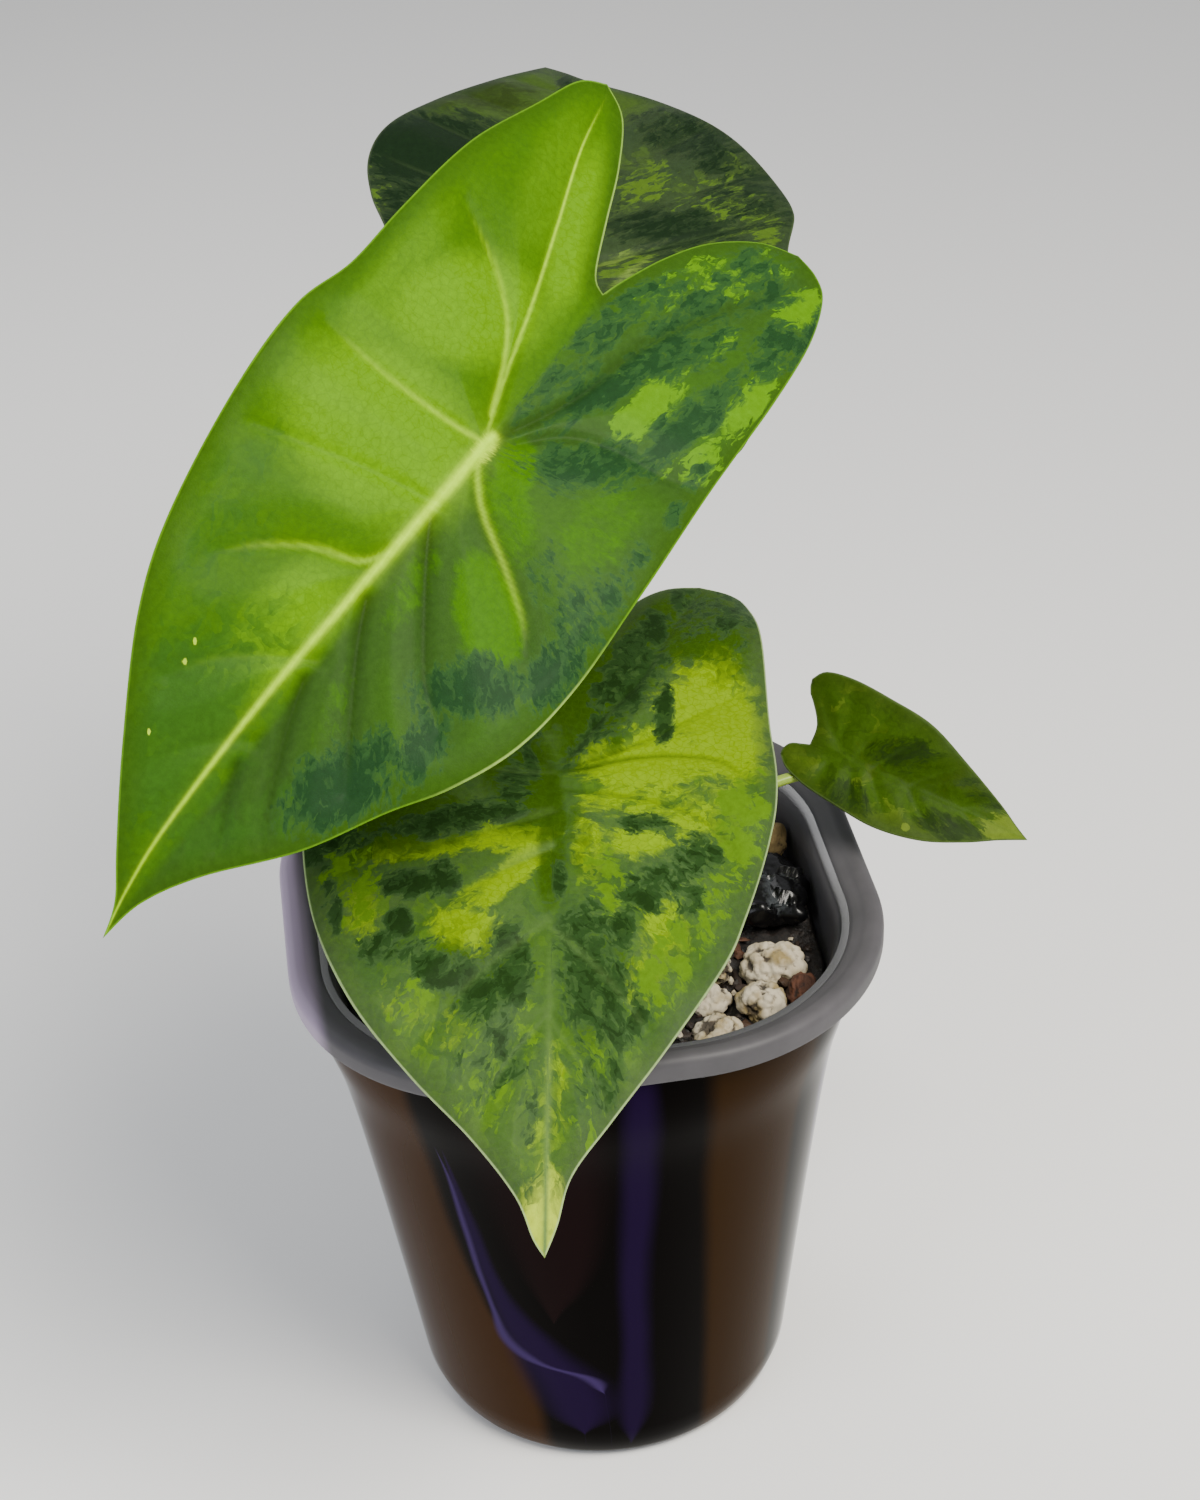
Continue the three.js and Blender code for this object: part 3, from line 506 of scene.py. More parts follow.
# %% Blade outlines
LEAVES = {
    "leaf_1": dict(
        attach=(-7.5, -30, 206.7), tip=(-63.6, -76, 158.5), facing=(0.165, -0.802, 0.574), droop=30, lobe_droop=25,
        fold=0.15, cup=0.001, wave=0.8, notch=-32,
        plus=dict(outer=[(-62, 20), (-60.5, 24), (-57, 27), (-48, 29), (-33, 29.5), (-14, 29.5), (6, 30), (21, 30.5),
                         (33, 29), (43, 25), (51, 20), (62, 14), (73, 5.5), (81, 1.2)],
                  sinus=[(-32, 0), (-36, 1), (-45, 4), (-53, 8), (-59.5, 14), (-62, 20)]),
        minus=dict(outer=[(-65, 19), (-61, 22.5), (-52, 25), (-38, 28.5), (-20, 30), (-8, 30.5), (3, 32.5),
                          (19, 31.5), (37, 28), (50, 23), (65, 14), (77, 6), (83, 1.8)],
                   sinus=[(-32, 0), (-34, 2.5), (-43, 6), (-53, 9.5), (-62, 14), (-65, 19)])),
    "leaf_2": dict(
        attach=(9, 36, 200.5), tip=(3.3, 112, 210.5), facing=(0.141, -0.119, 0.983), droop=40, lobe_droop=25,
        fold=0.06, cup=0.002, wave=0.8, notch=-16,
        plus=dict(outer=[(-34, 15), (-31, 22), (-20, 27), (-5, 31), (11, 33), (22, 35), (31, 35), (40, 31), (52, 22),
                         (62, 12.5), (71, 5)],
                  sinus=[(-16, 0), (-21, 2.5), (-28, 6), (-33, 10), (-34, 15)]),
        minus=dict(outer=[(-34, 15), (-31, 22), (-20, 27), (-5, 31), (8, 33.5), (18, 36), (28, 34.5), (40, 28),
                          (54, 17), (64, 7), (72, 2.8)],
                   sinus=[(-16, 0), (-21, 2.5), (-28, 6), (-33, 10), (-34, 15)])),
    "leaf_3": dict(
        attach=(-1.9, -20, 142.8), tip=(-6.5, -92, 109.1), facing=(0.055, -0.426, 0.903), droop=32, lobe_droop=20,
        fold=0.1, cup=0.002, wave=1, notch=-22,
        plus=dict(outer=[(-55, 25), (-53, 30.5), (-48, 33), (-34, 34.5), (-9, 35), (5, 35), (14, 33.5), (28, 29.5),
                         (37, 26), (50, 17.5), (61, 9.5), (69, 3.8), (76, 1.8)],
                  sinus=[(-22, 0), (-29, 3), (-38, 8.5), (-48, 13.5), (-53.5, 19), (-55, 25)]),
        minus=dict(outer=[(-54, 24), (-52, 30), (-44, 33.5), (-27, 35), (-9, 36.5), (3, 38), (17, 38), (31, 35),
                          (44, 29), (55, 20), (64, 11), (72, 4.5), (78, 1.8)],
                   sinus=[(-22, 0), (-29, 3), (-38, 8.5), (-47, 13.5), (-52.5, 19), (-54, 24)])),
    "leaf_4": dict(
        attach=(48.7, 10, 121.3), tip=(77.1, -2, 111.3), facing=(-0.055, -0.712, 0.7), droop=15, lobe_droop=15,
        fold=0.3, cup=0, wave=0.3, notch=-8,
        plus=dict(outer=[(-12, 10.5), (-10, 12.5), (-5, 13), (2, 12.3), (10, 11), (18, 7.5), (26, 3.6), (30, 1.3)],
                  sinus=[(-8, 0), (-8.2, 3.5), (-10, 6.5), (-11.6, 8.5), (-12, 10.5)]),
        minus=dict(outer=[(-12, 3.5), (-10, 5.4), (-6, 7), (0, 8.2), (8, 9.2), (16, 8), (23, 5), (28, 2.2)],
                   sinus=[(-8, 0), (-9.4, 0.4), (-11.2, 1), (-12, 2.2), (-12, 3.5)])),
}
SIDES = {"plus": 1, "minus": -1}
FOLD_ROUND = 6  # mm from the midrib within which the fold is rounded
WAVE_REACH, WAVE_STEP, WAVE_SHIFT = 30, 6, 1.1  # mm across, mm along to a radian, radians between the halves


def unit(v):
    return v / np.linalg.norm(v)


def square_to(v, axis):
    """The unit vector nearest to v that stands at a right angle to an axis."""
    return unit(v - (v @ axis) * axis)


def blade_frame(leaf):
    """The midrib leaves the attachment along m, n is the upper face and t points across."""
    attach, tip = np.array(leaf["attach"], float), np.array(leaf["tip"], float)
    chord = tip - attach
    u = unit(chord)
    facing = square_to(np.array(leaf["facing"]), u)
    half = math.radians(leaf["droop"]) / 2
    length = np.linalg.norm(chord) * half / math.sin(half)
    m = u * math.cos(half) + facing * math.sin(half)
    n = facing * math.cos(half) - u * math.sin(half)
    return dict(attach=attach, m=m, n=n, t=np.cross(n, m), length=length, bend=2 * half / length,
                lobe_bend=math.radians(leaf["lobe_droop"]) / length)


def blade_point(leaf, frame_, a, w):
    """Points of the blade's middle surface, a along the midrib and w across it."""
    k = np.where(a > 0, frame_["bend"], frame_["lobe_bend"])
    turn = (k * a)[:, None]
    k = k[:, None]
    normal = frame_["m"] * np.sin(turn) + frame_["n"] * np.cos(turn)
    rise = (leaf["fold"] * (np.hypot(w, FOLD_ROUND) - FOLD_ROUND) - leaf["cup"] * w * w
            + leaf["wave"] * (np.abs(w) / WAVE_REACH) ** 3 * np.sin(a / WAVE_STEP + np.where(w > 0, WAVE_SHIFT, 0)))
    return (frame_["attach"] + frame_["m"] * np.sin(turn) / k + frame_["n"] * (np.cos(turn) - 1) / k
            + w[:, None] * frame_["t"] + rise[:, None] * normal)


def blade_normal(leaf, frame_, a, w):
    e = 0.05
    along = blade_point(leaf, frame_, a + e, w) - blade_point(leaf, frame_, a - e, w)
    across = blade_point(leaf, frame_, a, w + e) - blade_point(leaf, frame_, a, w - e)
    normal = np.cross(along, across)
    return normal / np.linalg.norm(normal, axis=1, keepdims=True)


for name, leaf in LEAVES.items():
    print(name, "midrib", round(blade_frame(leaf)["length"]), "mm")

# %% [markdown]
# ## Rows across a blade
# Side veins leave the midrib at a slant, arch outwards and meet the margin. A mesh whose rows follow
# them folds and creases where a real blade does, and streaks can be painted along the rows. Each half
# has rows from the midrib to the margin, rows from the lobe's rib to the margin, and short rows from
# the lobe's rib to the sinus.

# %% Rows across a blade
LOBE_LEVEL = 0.34  # share of the outer margin that the lobe's rows take
TIP_SPREAD, LOBE_SPREAD = 0.62, 0.6  # below 1, rows start closer together near the petiole
VEIN_BOW = 0.07  # arch of a row, as a share of its length
LOBE_RIB_PULL = np.array([0.5, 0.32])  # the point the lobe's rib bends towards, as shares of its end
ROW_STEP = 0.9  # mm of margin between rows
COLUMN_STEP = 0.62  # mm between points of the longest row
SLANT = 1.25  # rows meet the margin at a slant, so a step along it counts for more


def at_share(line, share):
    """Points at shares of a line's length."""
    run = run_along(line)
    at = np.clip(share, 0, 1) * run[-1]
    return np.stack([np.interp(at, run, line[:, k]) for k in (0, 1)], -1)


def line_length(line):
    return float(np.linalg.norm(np.diff(line, axis=0), axis=1).sum())


def half_outline(leaf, frame_, side):
    """The outer margin from the lobe's end to the tip, and the sinus from the notch to the lobe's end."""
    outer = spline([*leaf[side]["outer"], (frame_["length"], 0)])
    return outer, spline(leaf[side]["sinus"])


def lobe_rib(end, q):
    """Points and directions of the rib of a lobe that ends at a given point."""
    pull, q = LOBE_RIB_PULL * end, q[:, None]
    return 2 * q * (1 - q) * pull + q**2 * end, 2 * (1 - 2 * q) * pull + 2 * q * end


def rows_between(start, end, bow, columns):
    """Rows of points from start to end, arched by bow."""
    reach = np.linalg.norm(end - start, axis=1)[:, None, None]
    c = columns[None, :, None]
    return start[:, None] * (1 - c) + end[:, None] * c + bow[:, None] * 4 * c * (1 - c) * reach * VEIN_BOW


def midrib_rows(frame_, outer, u, columns):
    """Rows from the midrib to the outer margin; u is 0 where the lobe's rows begin and 1 at the tip."""
    s = u ** (1 / TIP_SPREAD)
    start = np.stack([frame_["length"] * s, 0 * s], -1)
    bow = np.stack([-np.minimum(1, 4 * s), 0 * s], -1)
    return rows_between(start, at_share(outer, LOBE_LEVEL + (1 - LOBE_LEVEL) * u), bow, columns)


def half_rows(leaf, frame_, side, counts):
    """Rows of one half, from the tip round to the lobe's end, and from the lobe's rib to the sinus."""
    forward, backward, columns, sinus_columns = counts
    outer, sinus = half_outline(leaf, frame_, side)
    outer_rows = midrib_rows(frame_, outer, np.linspace(1, 0, forward + 1), columns)
    u = np.linspace(0, 1, backward + 1)[1:]
    q = u ** (1 / LOBE_SPREAD)
    start, direction = lobe_rib(outer[0], q)
    bow = -direction / np.linalg.norm(direction, axis=1, keepdims=True) * np.minimum(1, 4 * q)[:, None]
    lobe_rows = rows_between(start, at_share(outer, LOBE_LEVEL * (1 - u)), bow, columns)
    notch_share = 0.5 ** (1 / LOBE_SPREAD)
    start = np.vstack([[[0, 0]], start])
    q = np.concatenate([[0], q])
    on_notch = np.stack([leaf["notch"] * q / notch_share, 0 * q], -1)
    on_sinus = at_share(sinus, (q - notch_share) / (1 - notch_share))
    end = np.where((q < notch_share)[:, None], on_notch, on_sinus)
    sinus_rows = rows_between(start, end, 0 * start, sinus_columns)
    return np.vstack([outer_rows, lobe_rows]), sinus_rows


def row_counts(leaf, frame_):
    """Rows of the midrib and of the lobe, and the shares at which a long and a short row have points."""
    outer, _ = half_outline(leaf, frame_, "plus")
    margin = line_length(outer)
    widest = max(w for side in SIDES for _, w in leaf[side]["outer"])
    columns = np.linspace(0, 1, int(widest * 1.15 / COLUMN_STEP) + 1)
    sinus_columns = np.linspace(0, 1, int(widest * 0.5 / COLUMN_STEP) + 1)
    forward = int(margin * (1 - LOBE_LEVEL) / ROW_STEP * SLANT)
    backward = int(margin * LOBE_LEVEL / ROW_STEP * SLANT)
    return forward, backward, columns, sinus_columns


print("rows in half of leaf_1:", row_counts(LEAVES["leaf_1"], blade_frame(LEAVES["leaf_1"]))[:2])

# %% [markdown]
# ## Veins
# The midrib and the two lobe ribs carry the blade, and side veins branch off them. On the large blade
# and the low one they are listed one by one, as they lie on the plant, and on the others they follow
# from the rows. A vein narrows from its start to its end. Its paleness is one number, which fades
# towards the end, or a pair for the start and the end, and a number below 0 paints the vein darker
# than the tissue instead, as painted shade where it lies in a sharp crease.

# %% Veins
VEINS = {  # points along and across, widths in mm at start and end, paleness
    "leaf_1": [
        ([(-1, 0), (10, -0.5), (30, -1.8), (50, -2.8), (70, -2.6), (80, -1.6), (88, 0)], 0.85, 0.12, (1.0, 0.55)),
        ([(0, -0.5), (-11, -4), (-22, -7), (-36, -11.3), (-51, -15.8), (-64, -18)], 0.3, 0.13, (0.35, 0.85)),
        ([(-4, -2), (-12, -5.2), (-18, -9), (-23, -15), (-27.5, -24)], 0.5, 0.3, (0.5, 0.1)),
        ([(0.5, -1), (1.6, -10), (2.2, -19), (2.2, -28)], 0.5, 0.4, (0.42, 0.06)),
        ([(22, -1.5), (25.5, -4), (28, -10), (32, -15.5), (37, -20)], 0.5, 0.4, (0.42, 0.06)),
        ([(12, 0), (14, -9), (17, -18), (20, -27)], 0.45, 0.3, 0.0),
        ([(40, 0), (43, -5), (48, -11), (54, -15)], 0.45, 0.3, 0.05),
        ([(54, 0), (57, -4), (62, -8), (67, -10)], 0.4, 0.3, 0.0),
        ([(0, 0), (-14, 6), (-29, 9.5), (-46, 17), (-58, 24)], 0.6, 0.3, (-0.6, -0.2)),
        ([(-1, 2), (-8, 8), (-11, 15), (-12, 22), (-14, 28)], 0.45, 0.3, -0.2),
        ([(3, 0.3), (8.5, 5), (14, 13), (18.5, 19), (22, 22)], 0.5, 0.4, (0.48, 0.15)),
        ([(14, 0), (19, 3), (25, 7), (33, 13), (38, 19)], 0.6, 0.4, -0.8),
        ([(29, 0), (35, 3), (43, 8), (52, 14)], 0.6, 0.4, -0.8),
        ([(43, 0), (49, 2), (56, 5), (65, 9.5)], 0.55, 0.35, -0.7),
        ([(58, 0), (63, 2), (69, 5)], 0.5, 0.3, -0.6),
    ],
    "leaf_3": [
        ([(-1, 0), (30, 0), (56, 0), (80, 0)], 1.1, 0.35, (-0.5, 0.9)),
        ([(0, 0), (-13, 7), (-24, 14), (-40, 20), (-54, 25)], 0.8, 0.35, (-0.2, 0.1)),
        ([(0, 0), (-13, -7), (-24, -14), (-40, -20), (-54, -25)], 0.8, 0.35, (-0.2, 0.1)),
        ([(0, 0), (-3.4, 11), (-4, 20), (-2, 27), (5, 32)], 0.6, 0.34, -0.6),
        ([(3, 0), (4.5, 10), (8, 20), (14, 27), (22, 31)], 0.5, 0.3, -0.35),
        ([(-2, 3), (-7, 13), (-12, 20), (-20, 29)], 0.4, 0.25, -0.3),
        ([(16, 0), (22, 9), (30, 17), (38, 23)], 0.6, 0.3, (-0.2, 0.1)),
        ([(30, 0), (37, 7), (45, 13), (51, 16)], 0.6, 0.3, 0.25),
        ([(45, 0), (51, 4), (57, 8), (62, 9)], 0.5, 0.3, 0.2),
        ([(0, 0), (-1, -12), (1, -24), (4, -37)], 0.6, 0.3, 0.15),
        ([(8, 0), (13, -12), (17, -22), (22, -35)], 0.6, 0.3, 0.2),
        ([(15, 0), (22, -11), (29, -18), (38, -26)], 0.55, 0.3, (0.55, -0.5)),
        ([(29, 0), (36, -8), (44, -15), (51, -20)], 0.6, 0.3, 0.25),
        ([(45, 0), (51, -5), (58, -9), (64, -10)], 0.5, 0.3, 0.2),
    ],
}
VEIN_RULE = {  # side veins and lobe veins, widths and paleness where veins follow from the rows
    "leaf_2": (5, 2, 0.9, 0.45, 0.3),
    "leaf_4": (3, 1, 0.5, 0.25, 0.12),
}


def ruled_veins(leaf, frame_, rule):
    """The midrib, the ribs of the lobes and veins that lie along a few of the rows."""
    side_count, lobe_count, rib_width, vein_width, paleness = rule
    fine = np.linspace(0, 1, 24)
    lines = [(np.array([(-1, 0), (frame_["length"], 0)]), rib_width, 0.25, paleness * 1.6)]
    for side, sign in SIDES.items():
        outer, _ = half_outline(leaf, frame_, side)
        mirror = np.array([1, sign])
        rib, _ = lobe_rib(outer[0], fine)
        lines.append((rib * mirror, rib_width * 0.8, 0.25, paleness * 1.4))
        for k in range(side_count + 1):
            row = midrib_rows(frame_, outer, np.array([k / (side_count + 1)]), fine)
            lines.append((row[0] * mirror, vein_width, 0.2, paleness))
        for k in range(1, lobe_count + 1):
            u = k / (lobe_count + 1)
            start, direction = lobe_rib(outer[0], np.array([u ** (1 / LOBE_SPREAD)]))
            row = rows_between(start, at_share(outer, np.array([LOBE_LEVEL * (1 - u)])), -unit(direction), fine)
            lines.append((row[0] * mirror, vein_width, 0.2, paleness))
    return lines


def blade_veins(name, leaf, frame_):
    if name in VEIN_RULE:
        return ruled_veins(leaf, frame_, VEIN_RULE[name])
    return [(spline(line, 8), start, end, pale) for line, start, end, pale in VEINS[name]]


def distance_to(points, line):
    """Distance from each point to a line, and the share of the line's length where it is nearest."""
    best, share, run = np.full(len(points), 1e9), np.zeros(len(points)), run_along(line)
    for i, (p, q) in enumerate(zip(line, line[1:])):
        step = q - p
        t = np.clip(((points - p) @ step) / max(step @ step, 1e-9), 0, 1)
        away = np.linalg.norm(points - p - t[:, None] * step, axis=1)
        nearer = away < best
        best = np.where(nearer, away, best)
        share = np.where(nearer, (run[i] + t * (run[i + 1] - run[i])) / run[-1], share)
    return best, share


print("veins set by hand:", sum(len(v) for v in VEINS.values()))

# %% [markdown]
# ## Markings
# Variegation follows the plant's cell lines: a sector keeps its tone from the midrib outwards, and
# where two tones meet they break up along the fine veins. So each blade gets a few soft patches, set
# where that tone lies on this plant, and the material later tears their edges with streaky noise.
# A patch is a kind, its centre along and across, half length, half width, turn and strength. The
# kinds are tones, apart from one, which says where a painted highlight lies along the margin's rim.

# %% Markings
MARKS = {
    "leaf_1": [
        ("dark", -6.5, 13.5, 9, 4.2, -45, 1.0), ("dark", -22, 21.3, 12, 2.9, -10, 1.0),
        ("dark", -30, 12.5, 6, 4.4, -10, 0.9), ("dark", -16, 8.2, 11, 2.4, -18, 0.95),
        ("dark", -18, 3, 16, 3.2, -3, 0.72), ("dark", -50, 28.5, 8, 2, 0, 0.8), ("dark", -42, 24.5, 7, 3.6, -5, 0.8),
        ("dark", -42, 15, 17, 7, -15, 0.56), ("dark", -52, 17, 6, 6, 0, 0.6), ("dark", -36, 6, 10, 3, -20, 0.6),
        ("dark", -16, 26.5, 3, 2, 0, 0.6), ("dark", -8, 27.5, 3, 1.5, 0, 0.7), ("dark", 1, 26.5, 2.4, 1.8, 0, 0.72),
        ("dark", 8, 27, 4, 2, 0, 0.7), ("dark", 12.5, 25, 6.5, 4.5, 0, 0.66), ("dark", 21, 26.5, 7, 3.2, 10, 1.0),
        ("dark", 30.5, 19, 8, 4.2, -52, 1.05), ("dark", 11, 18, 5, 3, 30, 0.5), ("dark", 51, 13, 9, 4.8, -22, 1.08),
        ("dark", 41.5, 18.5, 6.5, 3, 10, 0.95), ("dark", 47, 19, 4, 2.6, 0, 0.62),
        ("light", -19.5, 15, 8, 2.7, -8, 1.1), ("light", -30, 26.6, 10, 2, -2, 0.9),
        ("light", -18, 26, 4, 2.6, 0, 0.9), ("light", -52.5, 24.8, 5, 3.2, -20, 1.1),
        ("light", -25, 10, 4, 1.2, -15, 0.9), ("light", -42, 8, 9, 3.2, -20, 0.55),
        ("light", -47, 14, 9, 3, -30, 0.52), ("light", -36, 18, 5, 1.6, -5, 0.55),
        ("lush", 0.5, 5.4, 5, 3.2, 20, 1.0), ("lush", 7, 8.5, 9, 4, 55, 0.6), ("light", -14, 22.5, 3, 1, 0, 0.6),
        ("light", -57, 17, 3, 4, 0, 0.5), ("lush", 20.5, 14.5, 9, 4.6, 45, 1.0), ("lush", 43, 6, 9, 3, 15, 0.4),
        ("lush", 24, 4, 9, 3, 10, 0.5), ("bright", 9, -13, 13, 15, 0, 0.85), ("bright", -14, -14, 14, 9, -35, 0.8),
        ("bright", -38, -9, 18, 4, 18, 0.75), ("bright", -42, -16, 20, 6, 12, 0.45),
        ("bright", 40, -7, 14, 6, -5, 0.7), ("bright", 60, -7, 10, 4, -10, 0.45), ("bright", -8, -24, 20, 5, 5, 0.5),
        ("lush", 2, 20, 12, 6, 0, 0.5), ("olive", 60, -8, 22, 10, 10, 0.8), ("olive", 34, -20, 18, 7, 15, 0.5),
        ("olive", 64, 6, 14, 6, -20, 0.6), ("pale", 1, 0.2, 3.2, 1.8, 0, 0.6),
        ("pale", 48.3, -14.8, 0.3, 0.2, 0, 1.6), ("pale", 51.3, -14.2, 0.4, 0.2, 60, 1.6),
        ("pale", 61.5, -12.2, 0.3, 0.2, 0, 1.6), ("margin_glint", 29, 26, 13, 6, 0, 1.0), ("margin_glint", -38, -9, 24, 6, 15, 0.9),
    ],
    "leaf_2": [
        ("dark", 33, 25, 12, 10, 100, 1.3), ("dark", 12, 22, 16, 12, 0, 1.1), ("dark", 40, -20, 9, 8, 45, 0.72),
        ("dark", 12, -15, 6, 11, -10, 0.85), ("dark", 22, -28, 12, 8, 0, 0.62), ("dark", 33, -25, 7, 6, 0, 0.8),
        ("dark", -12, 12, 20, 12, 30, 0.8), ("dark", -18, -14, 18, 10, -30, 0.7), ("dark", 60, -2, 8, 2, 0, 0.7),
        ("light", 25, -11, 7, 5.5, -30, 0.55), ("light", 18, -24, 10, 9, 0, 0.56), ("light", 14, -30, 6, 3, 0, 0.8),
        ("light", 30.5, -26.5, 3.2, 2.2, 0, 1.0), ("light", 8, -20, 4, 8, -10, 0.5),
        ("light", 22, 33.5, 8, 2.4, 0, 0.6), ("light", 33, 32, 4, 1.6, 0, 0.7), ("bright", 58, 12, 15, 14, 0, 1.1),
        ("bright", 52, -9, 14, 7, -35, 1.0), ("bright", 44, -4, 14, 6, -20, 0.8), ("light", 4, -6, 6, 4, -60, 0.6),
        ("pale", 5.5, -4.5, 6, 1.2, -62, 0.6), ("pale", 2.5, -6.5, 6, 1, -48, 0.6),
        ("pale", 0, -8, 6, 0.8, -34, 0.55), ("olive", 54, 16, 10, 12, 0, 0.8),
    ],
    "leaf_3": [
        # On this blade the olive patches at (-46, 25) and (-27, 9) and the broad dark ones at (-45, 27) and (-26, 12.5)
        # are partly its own tone and partly painted shade, where it lies under the large blade
        ("olive", -46, 25, 22, 14, 0, 1.0), ("olive", -27, 9, 24, 8, -14, 1.0), ("olive", 2, -5, 12, 6, 0, 0.95),
        ("olive", 14, 0, 14, 2.6, 0, 0.9), ("olive", 12, -24, 8, 12, 20, 0.8), ("olive", 38, -10, 9, 8, 0, 0.6),
        ("olive", -6, 8, 8, 3, -30, 0.6), ("olive", 38, 7, 11, 5, 0, 0.6), ("olive", 13, 4, 7, 3, 0, 0.55),
        ("bright", -12, 26.5, 16, 7, 5, 1.15), ("bright", -3, 16, 7, 11, 10, 1.1), ("bright", 5, 13, 5, 8, 0, 0.75),
        ("bright", 15, 13.5, 3, 5, 0, 0.85), ("bright", 17, 6, 8, 2.6, 5, 0.6), ("bright", 31, 17, 6, 3.4, 15, 0.8),
        ("bright", 39, 14.5, 6, 3, -20, 0.62), ("bright", 27, 10, 6, 2, 10, 0.55), ("bright", 10, 21, 6, 4, 0, 0.62),
        ("bright", -22, 21, 10, 4, -20, 0.6), ("bright", 10, 28, 10, 4, -10, 0.5),
        ("bright", 21, -6, 10, 2.2, -38, 1.0), ("bright", 31, -12.5, 4, 5, -20, 1.05),
        ("bright", 13.5, -7, 3, 6, 10, 0.85), ("bright", 16.5, -20, 10, 2.6, -76, 0.8),
        ("bright", 25, -12, 7, 1.8, -45, 0.7), ("bright", 28, -28.5, 6, 3, 10, 0.62),
        ("bright", 46.5, -19, 4, 2.4, 0, 0.4), ("bright", 43, -23, 4, 2, 10, 0.35),
        ("bright", 58, 0.5, 9, 3, 0, 0.35), ("bright", 66, 0, 7, 3, 0, 0.4), ("bright", 48, -14, 4, 3, 0, 0.3),
        ("pale", 79, 0, 12, 4, 0, 0.78), ("bright", 74, 0, 9, 4, 0, 0.6), ("light", 11, 29, 12, 4, -8, 0.62),
        ("light", 55, -10, 10, 5, 10, 0.4), ("light", 57, 6, 10, 4, 0, 0.36), ("light", 27, 24, 8, 3, -12, 0.62),
        ("light", 23, -30, 10, 5, 10, 0.56), ("light", 23, 8, 8, 4, 0, 0.6), ("light", 37, 17, 9, 4, -15, 0.62),
        ("light", 43, -20, 8, 4, 0, 0.45), ("light", 48, -3, 9, 2.4, 0, 0.4), ("dark", -26, 12.5, 16, 5, -14, 0.74),
        ("dark", -45, 27, 15, 9, 0, 0.46), ("dark", -38, 16.8, 6.5, 2, 0, 1.0), ("dark", -20, 12.7, 3.6, 1.6, 0, 1.0),
        ("dark", -14, 17.8, 7, 1.7, -5, 1.05), ("dark", -48, 21, 5, 1.6, 0, 0.9), ("dark", -10, 6, 9, 1.8, -25, 0.65),
        ("dark", 11, 14, 2.2, 3.6, 10, 1.05), ("dark", 12, 17.5, 2, 2, 0, 0.8), ("dark", 18, 22.5, 5, 3.4, -20, 0.74),
        ("dark", 24, 15, 3.6, 5.2, 25, 0.8), ("dark", 27, 21, 5, 2, -20, 0.6), ("dark", 31, 11, 3, 2, 0, 0.66),
        ("dark", 21, 1.3, 3.4, 1.2, 0, 0.95), ("dark", 40, 6.4, 12, 5, 8, 0.85), ("dark", 47, 11, 6, 3, -30, 0.6),
        ("dark", 36, 12, 5, 2, 0, 0.5), ("dark", 10.5, -14, 10, 2.4, -70, 0.9), ("dark", 16.5, -33, 7, 2, -70, 0.8),
        ("dark", 3, -6, 5, 3, 0, 0.7), ("dark", -2, -3.4, 5, 1.2, 10, 0.8), ("dark", 22, -16, 3.6, 2, 20, 0.95),
        ("dark", 23.5, -22, 2.6, 5, 0, 0.8), ("dark", 30, -22.6, 2.2, 2, 0, 1.15),
        ("dark", 34.5, -25.5, 3, 3, 0, 0.7), ("dark", 37, -5.5, 7, 3.6, 0, 0.82),
        ("dark", 38.5, -16.5, 3, 5.6, -25, 0.9), ("dark", 41, -11, 6, 3.6, 0, 0.8),
        ("dark", 35, -20, 4, 1.4, -60, 0.7), ("dark", 52, -8, 8, 5, 0, 0.46), ("dark", 53, 8, 7, 4, 0, 0.42),
        ("dark", -30, -20, 22, 10, 30, 0.8), ("dark", -14, -10, 10, 5, 30, 0.7), ("dark", 26, -33, 6, 1.4, 10, 0.6),
        ("dark", 60, -3, 5, 1.6, 0, 0.46),
    ],
    "leaf_4": [
        ("bright", 12, -8, 12, 2, 5, 0.9), ("dark", 8, 5, 6, 3, 20, 0.6), ("dark", 20, -4, 6, 2.4, 0, 0.55),
        ("dark", 2, -6, 5, 3, 0, 0.6), ("dark", 22, 4, 5, 2, 0, 0.5), ("olive", 12, 3, 14, 5, 0, 0.6),
        ("light", 29, 0, 5, 3, 0, 0.8), ("light", 15, -5, 0.7, 0.7, 0, 1.2), ("light", 19, -4, 0.6, 0.6, 0, 1.2),
        ("light", 13, -7, 0.7, 0.7, 0, 1.2),
    ],
}
MARK_CORE, MARK_END = 0.35, 1.65  # a patch is full within the first share of its reach and gone at the second
SECTORS = {"leaf_1": ("dark", "light")}  # markings kept to the right half, as a clean sector chimera has them


def ease(value, low, high):
    """0 below low, 1 above high and smooth between."""
    s = np.clip((value - low) / (high - low), 0, 1)
    return s * s * (3 - 2 * s)


def right_half(w):
    """1 on the right half of a blade and 0 on the left, with a narrow soft border on the midrib."""
    return ease(w, -0.9, 1.1)


def mark_field(name, kind, a, w):
    """Strength of one kind of patch at each point: 1 within, 0.5 on the patch's outline, 0 outside."""
    field = np.zeros(len(a))
    for mark, along, across, half_length, half_width, turn, strength in MARKS[name]:
        if mark != kind:
            continue
        c, s = math.cos(math.radians(turn)), math.sin(math.radians(turn))
        x, y = (a - along) * c + (w - across) * s, (w - across) * c - (a - along) * s
        reach = np.hypot(x / half_length, y / half_width)
        field = np.maximum(field, strength * (1 - ease(reach, MARK_CORE, MARK_END)))
    return field * right_half(w) if kind in SECTORS.get(name, ()) else field


print("patches:", {name: len(marks) for name, marks in MARKS.items()})

# %% [markdown]
# ## From rows to a shell
# A blade is a thin shell, and both its faces share the same rows. The grids of rows are welded where
# they meet, each pair of rows is filled with triangles, and a band closes the margin. Two modifiers
# could thicken a flat sheet too, but then the lower face couldn't have ribs of its own.

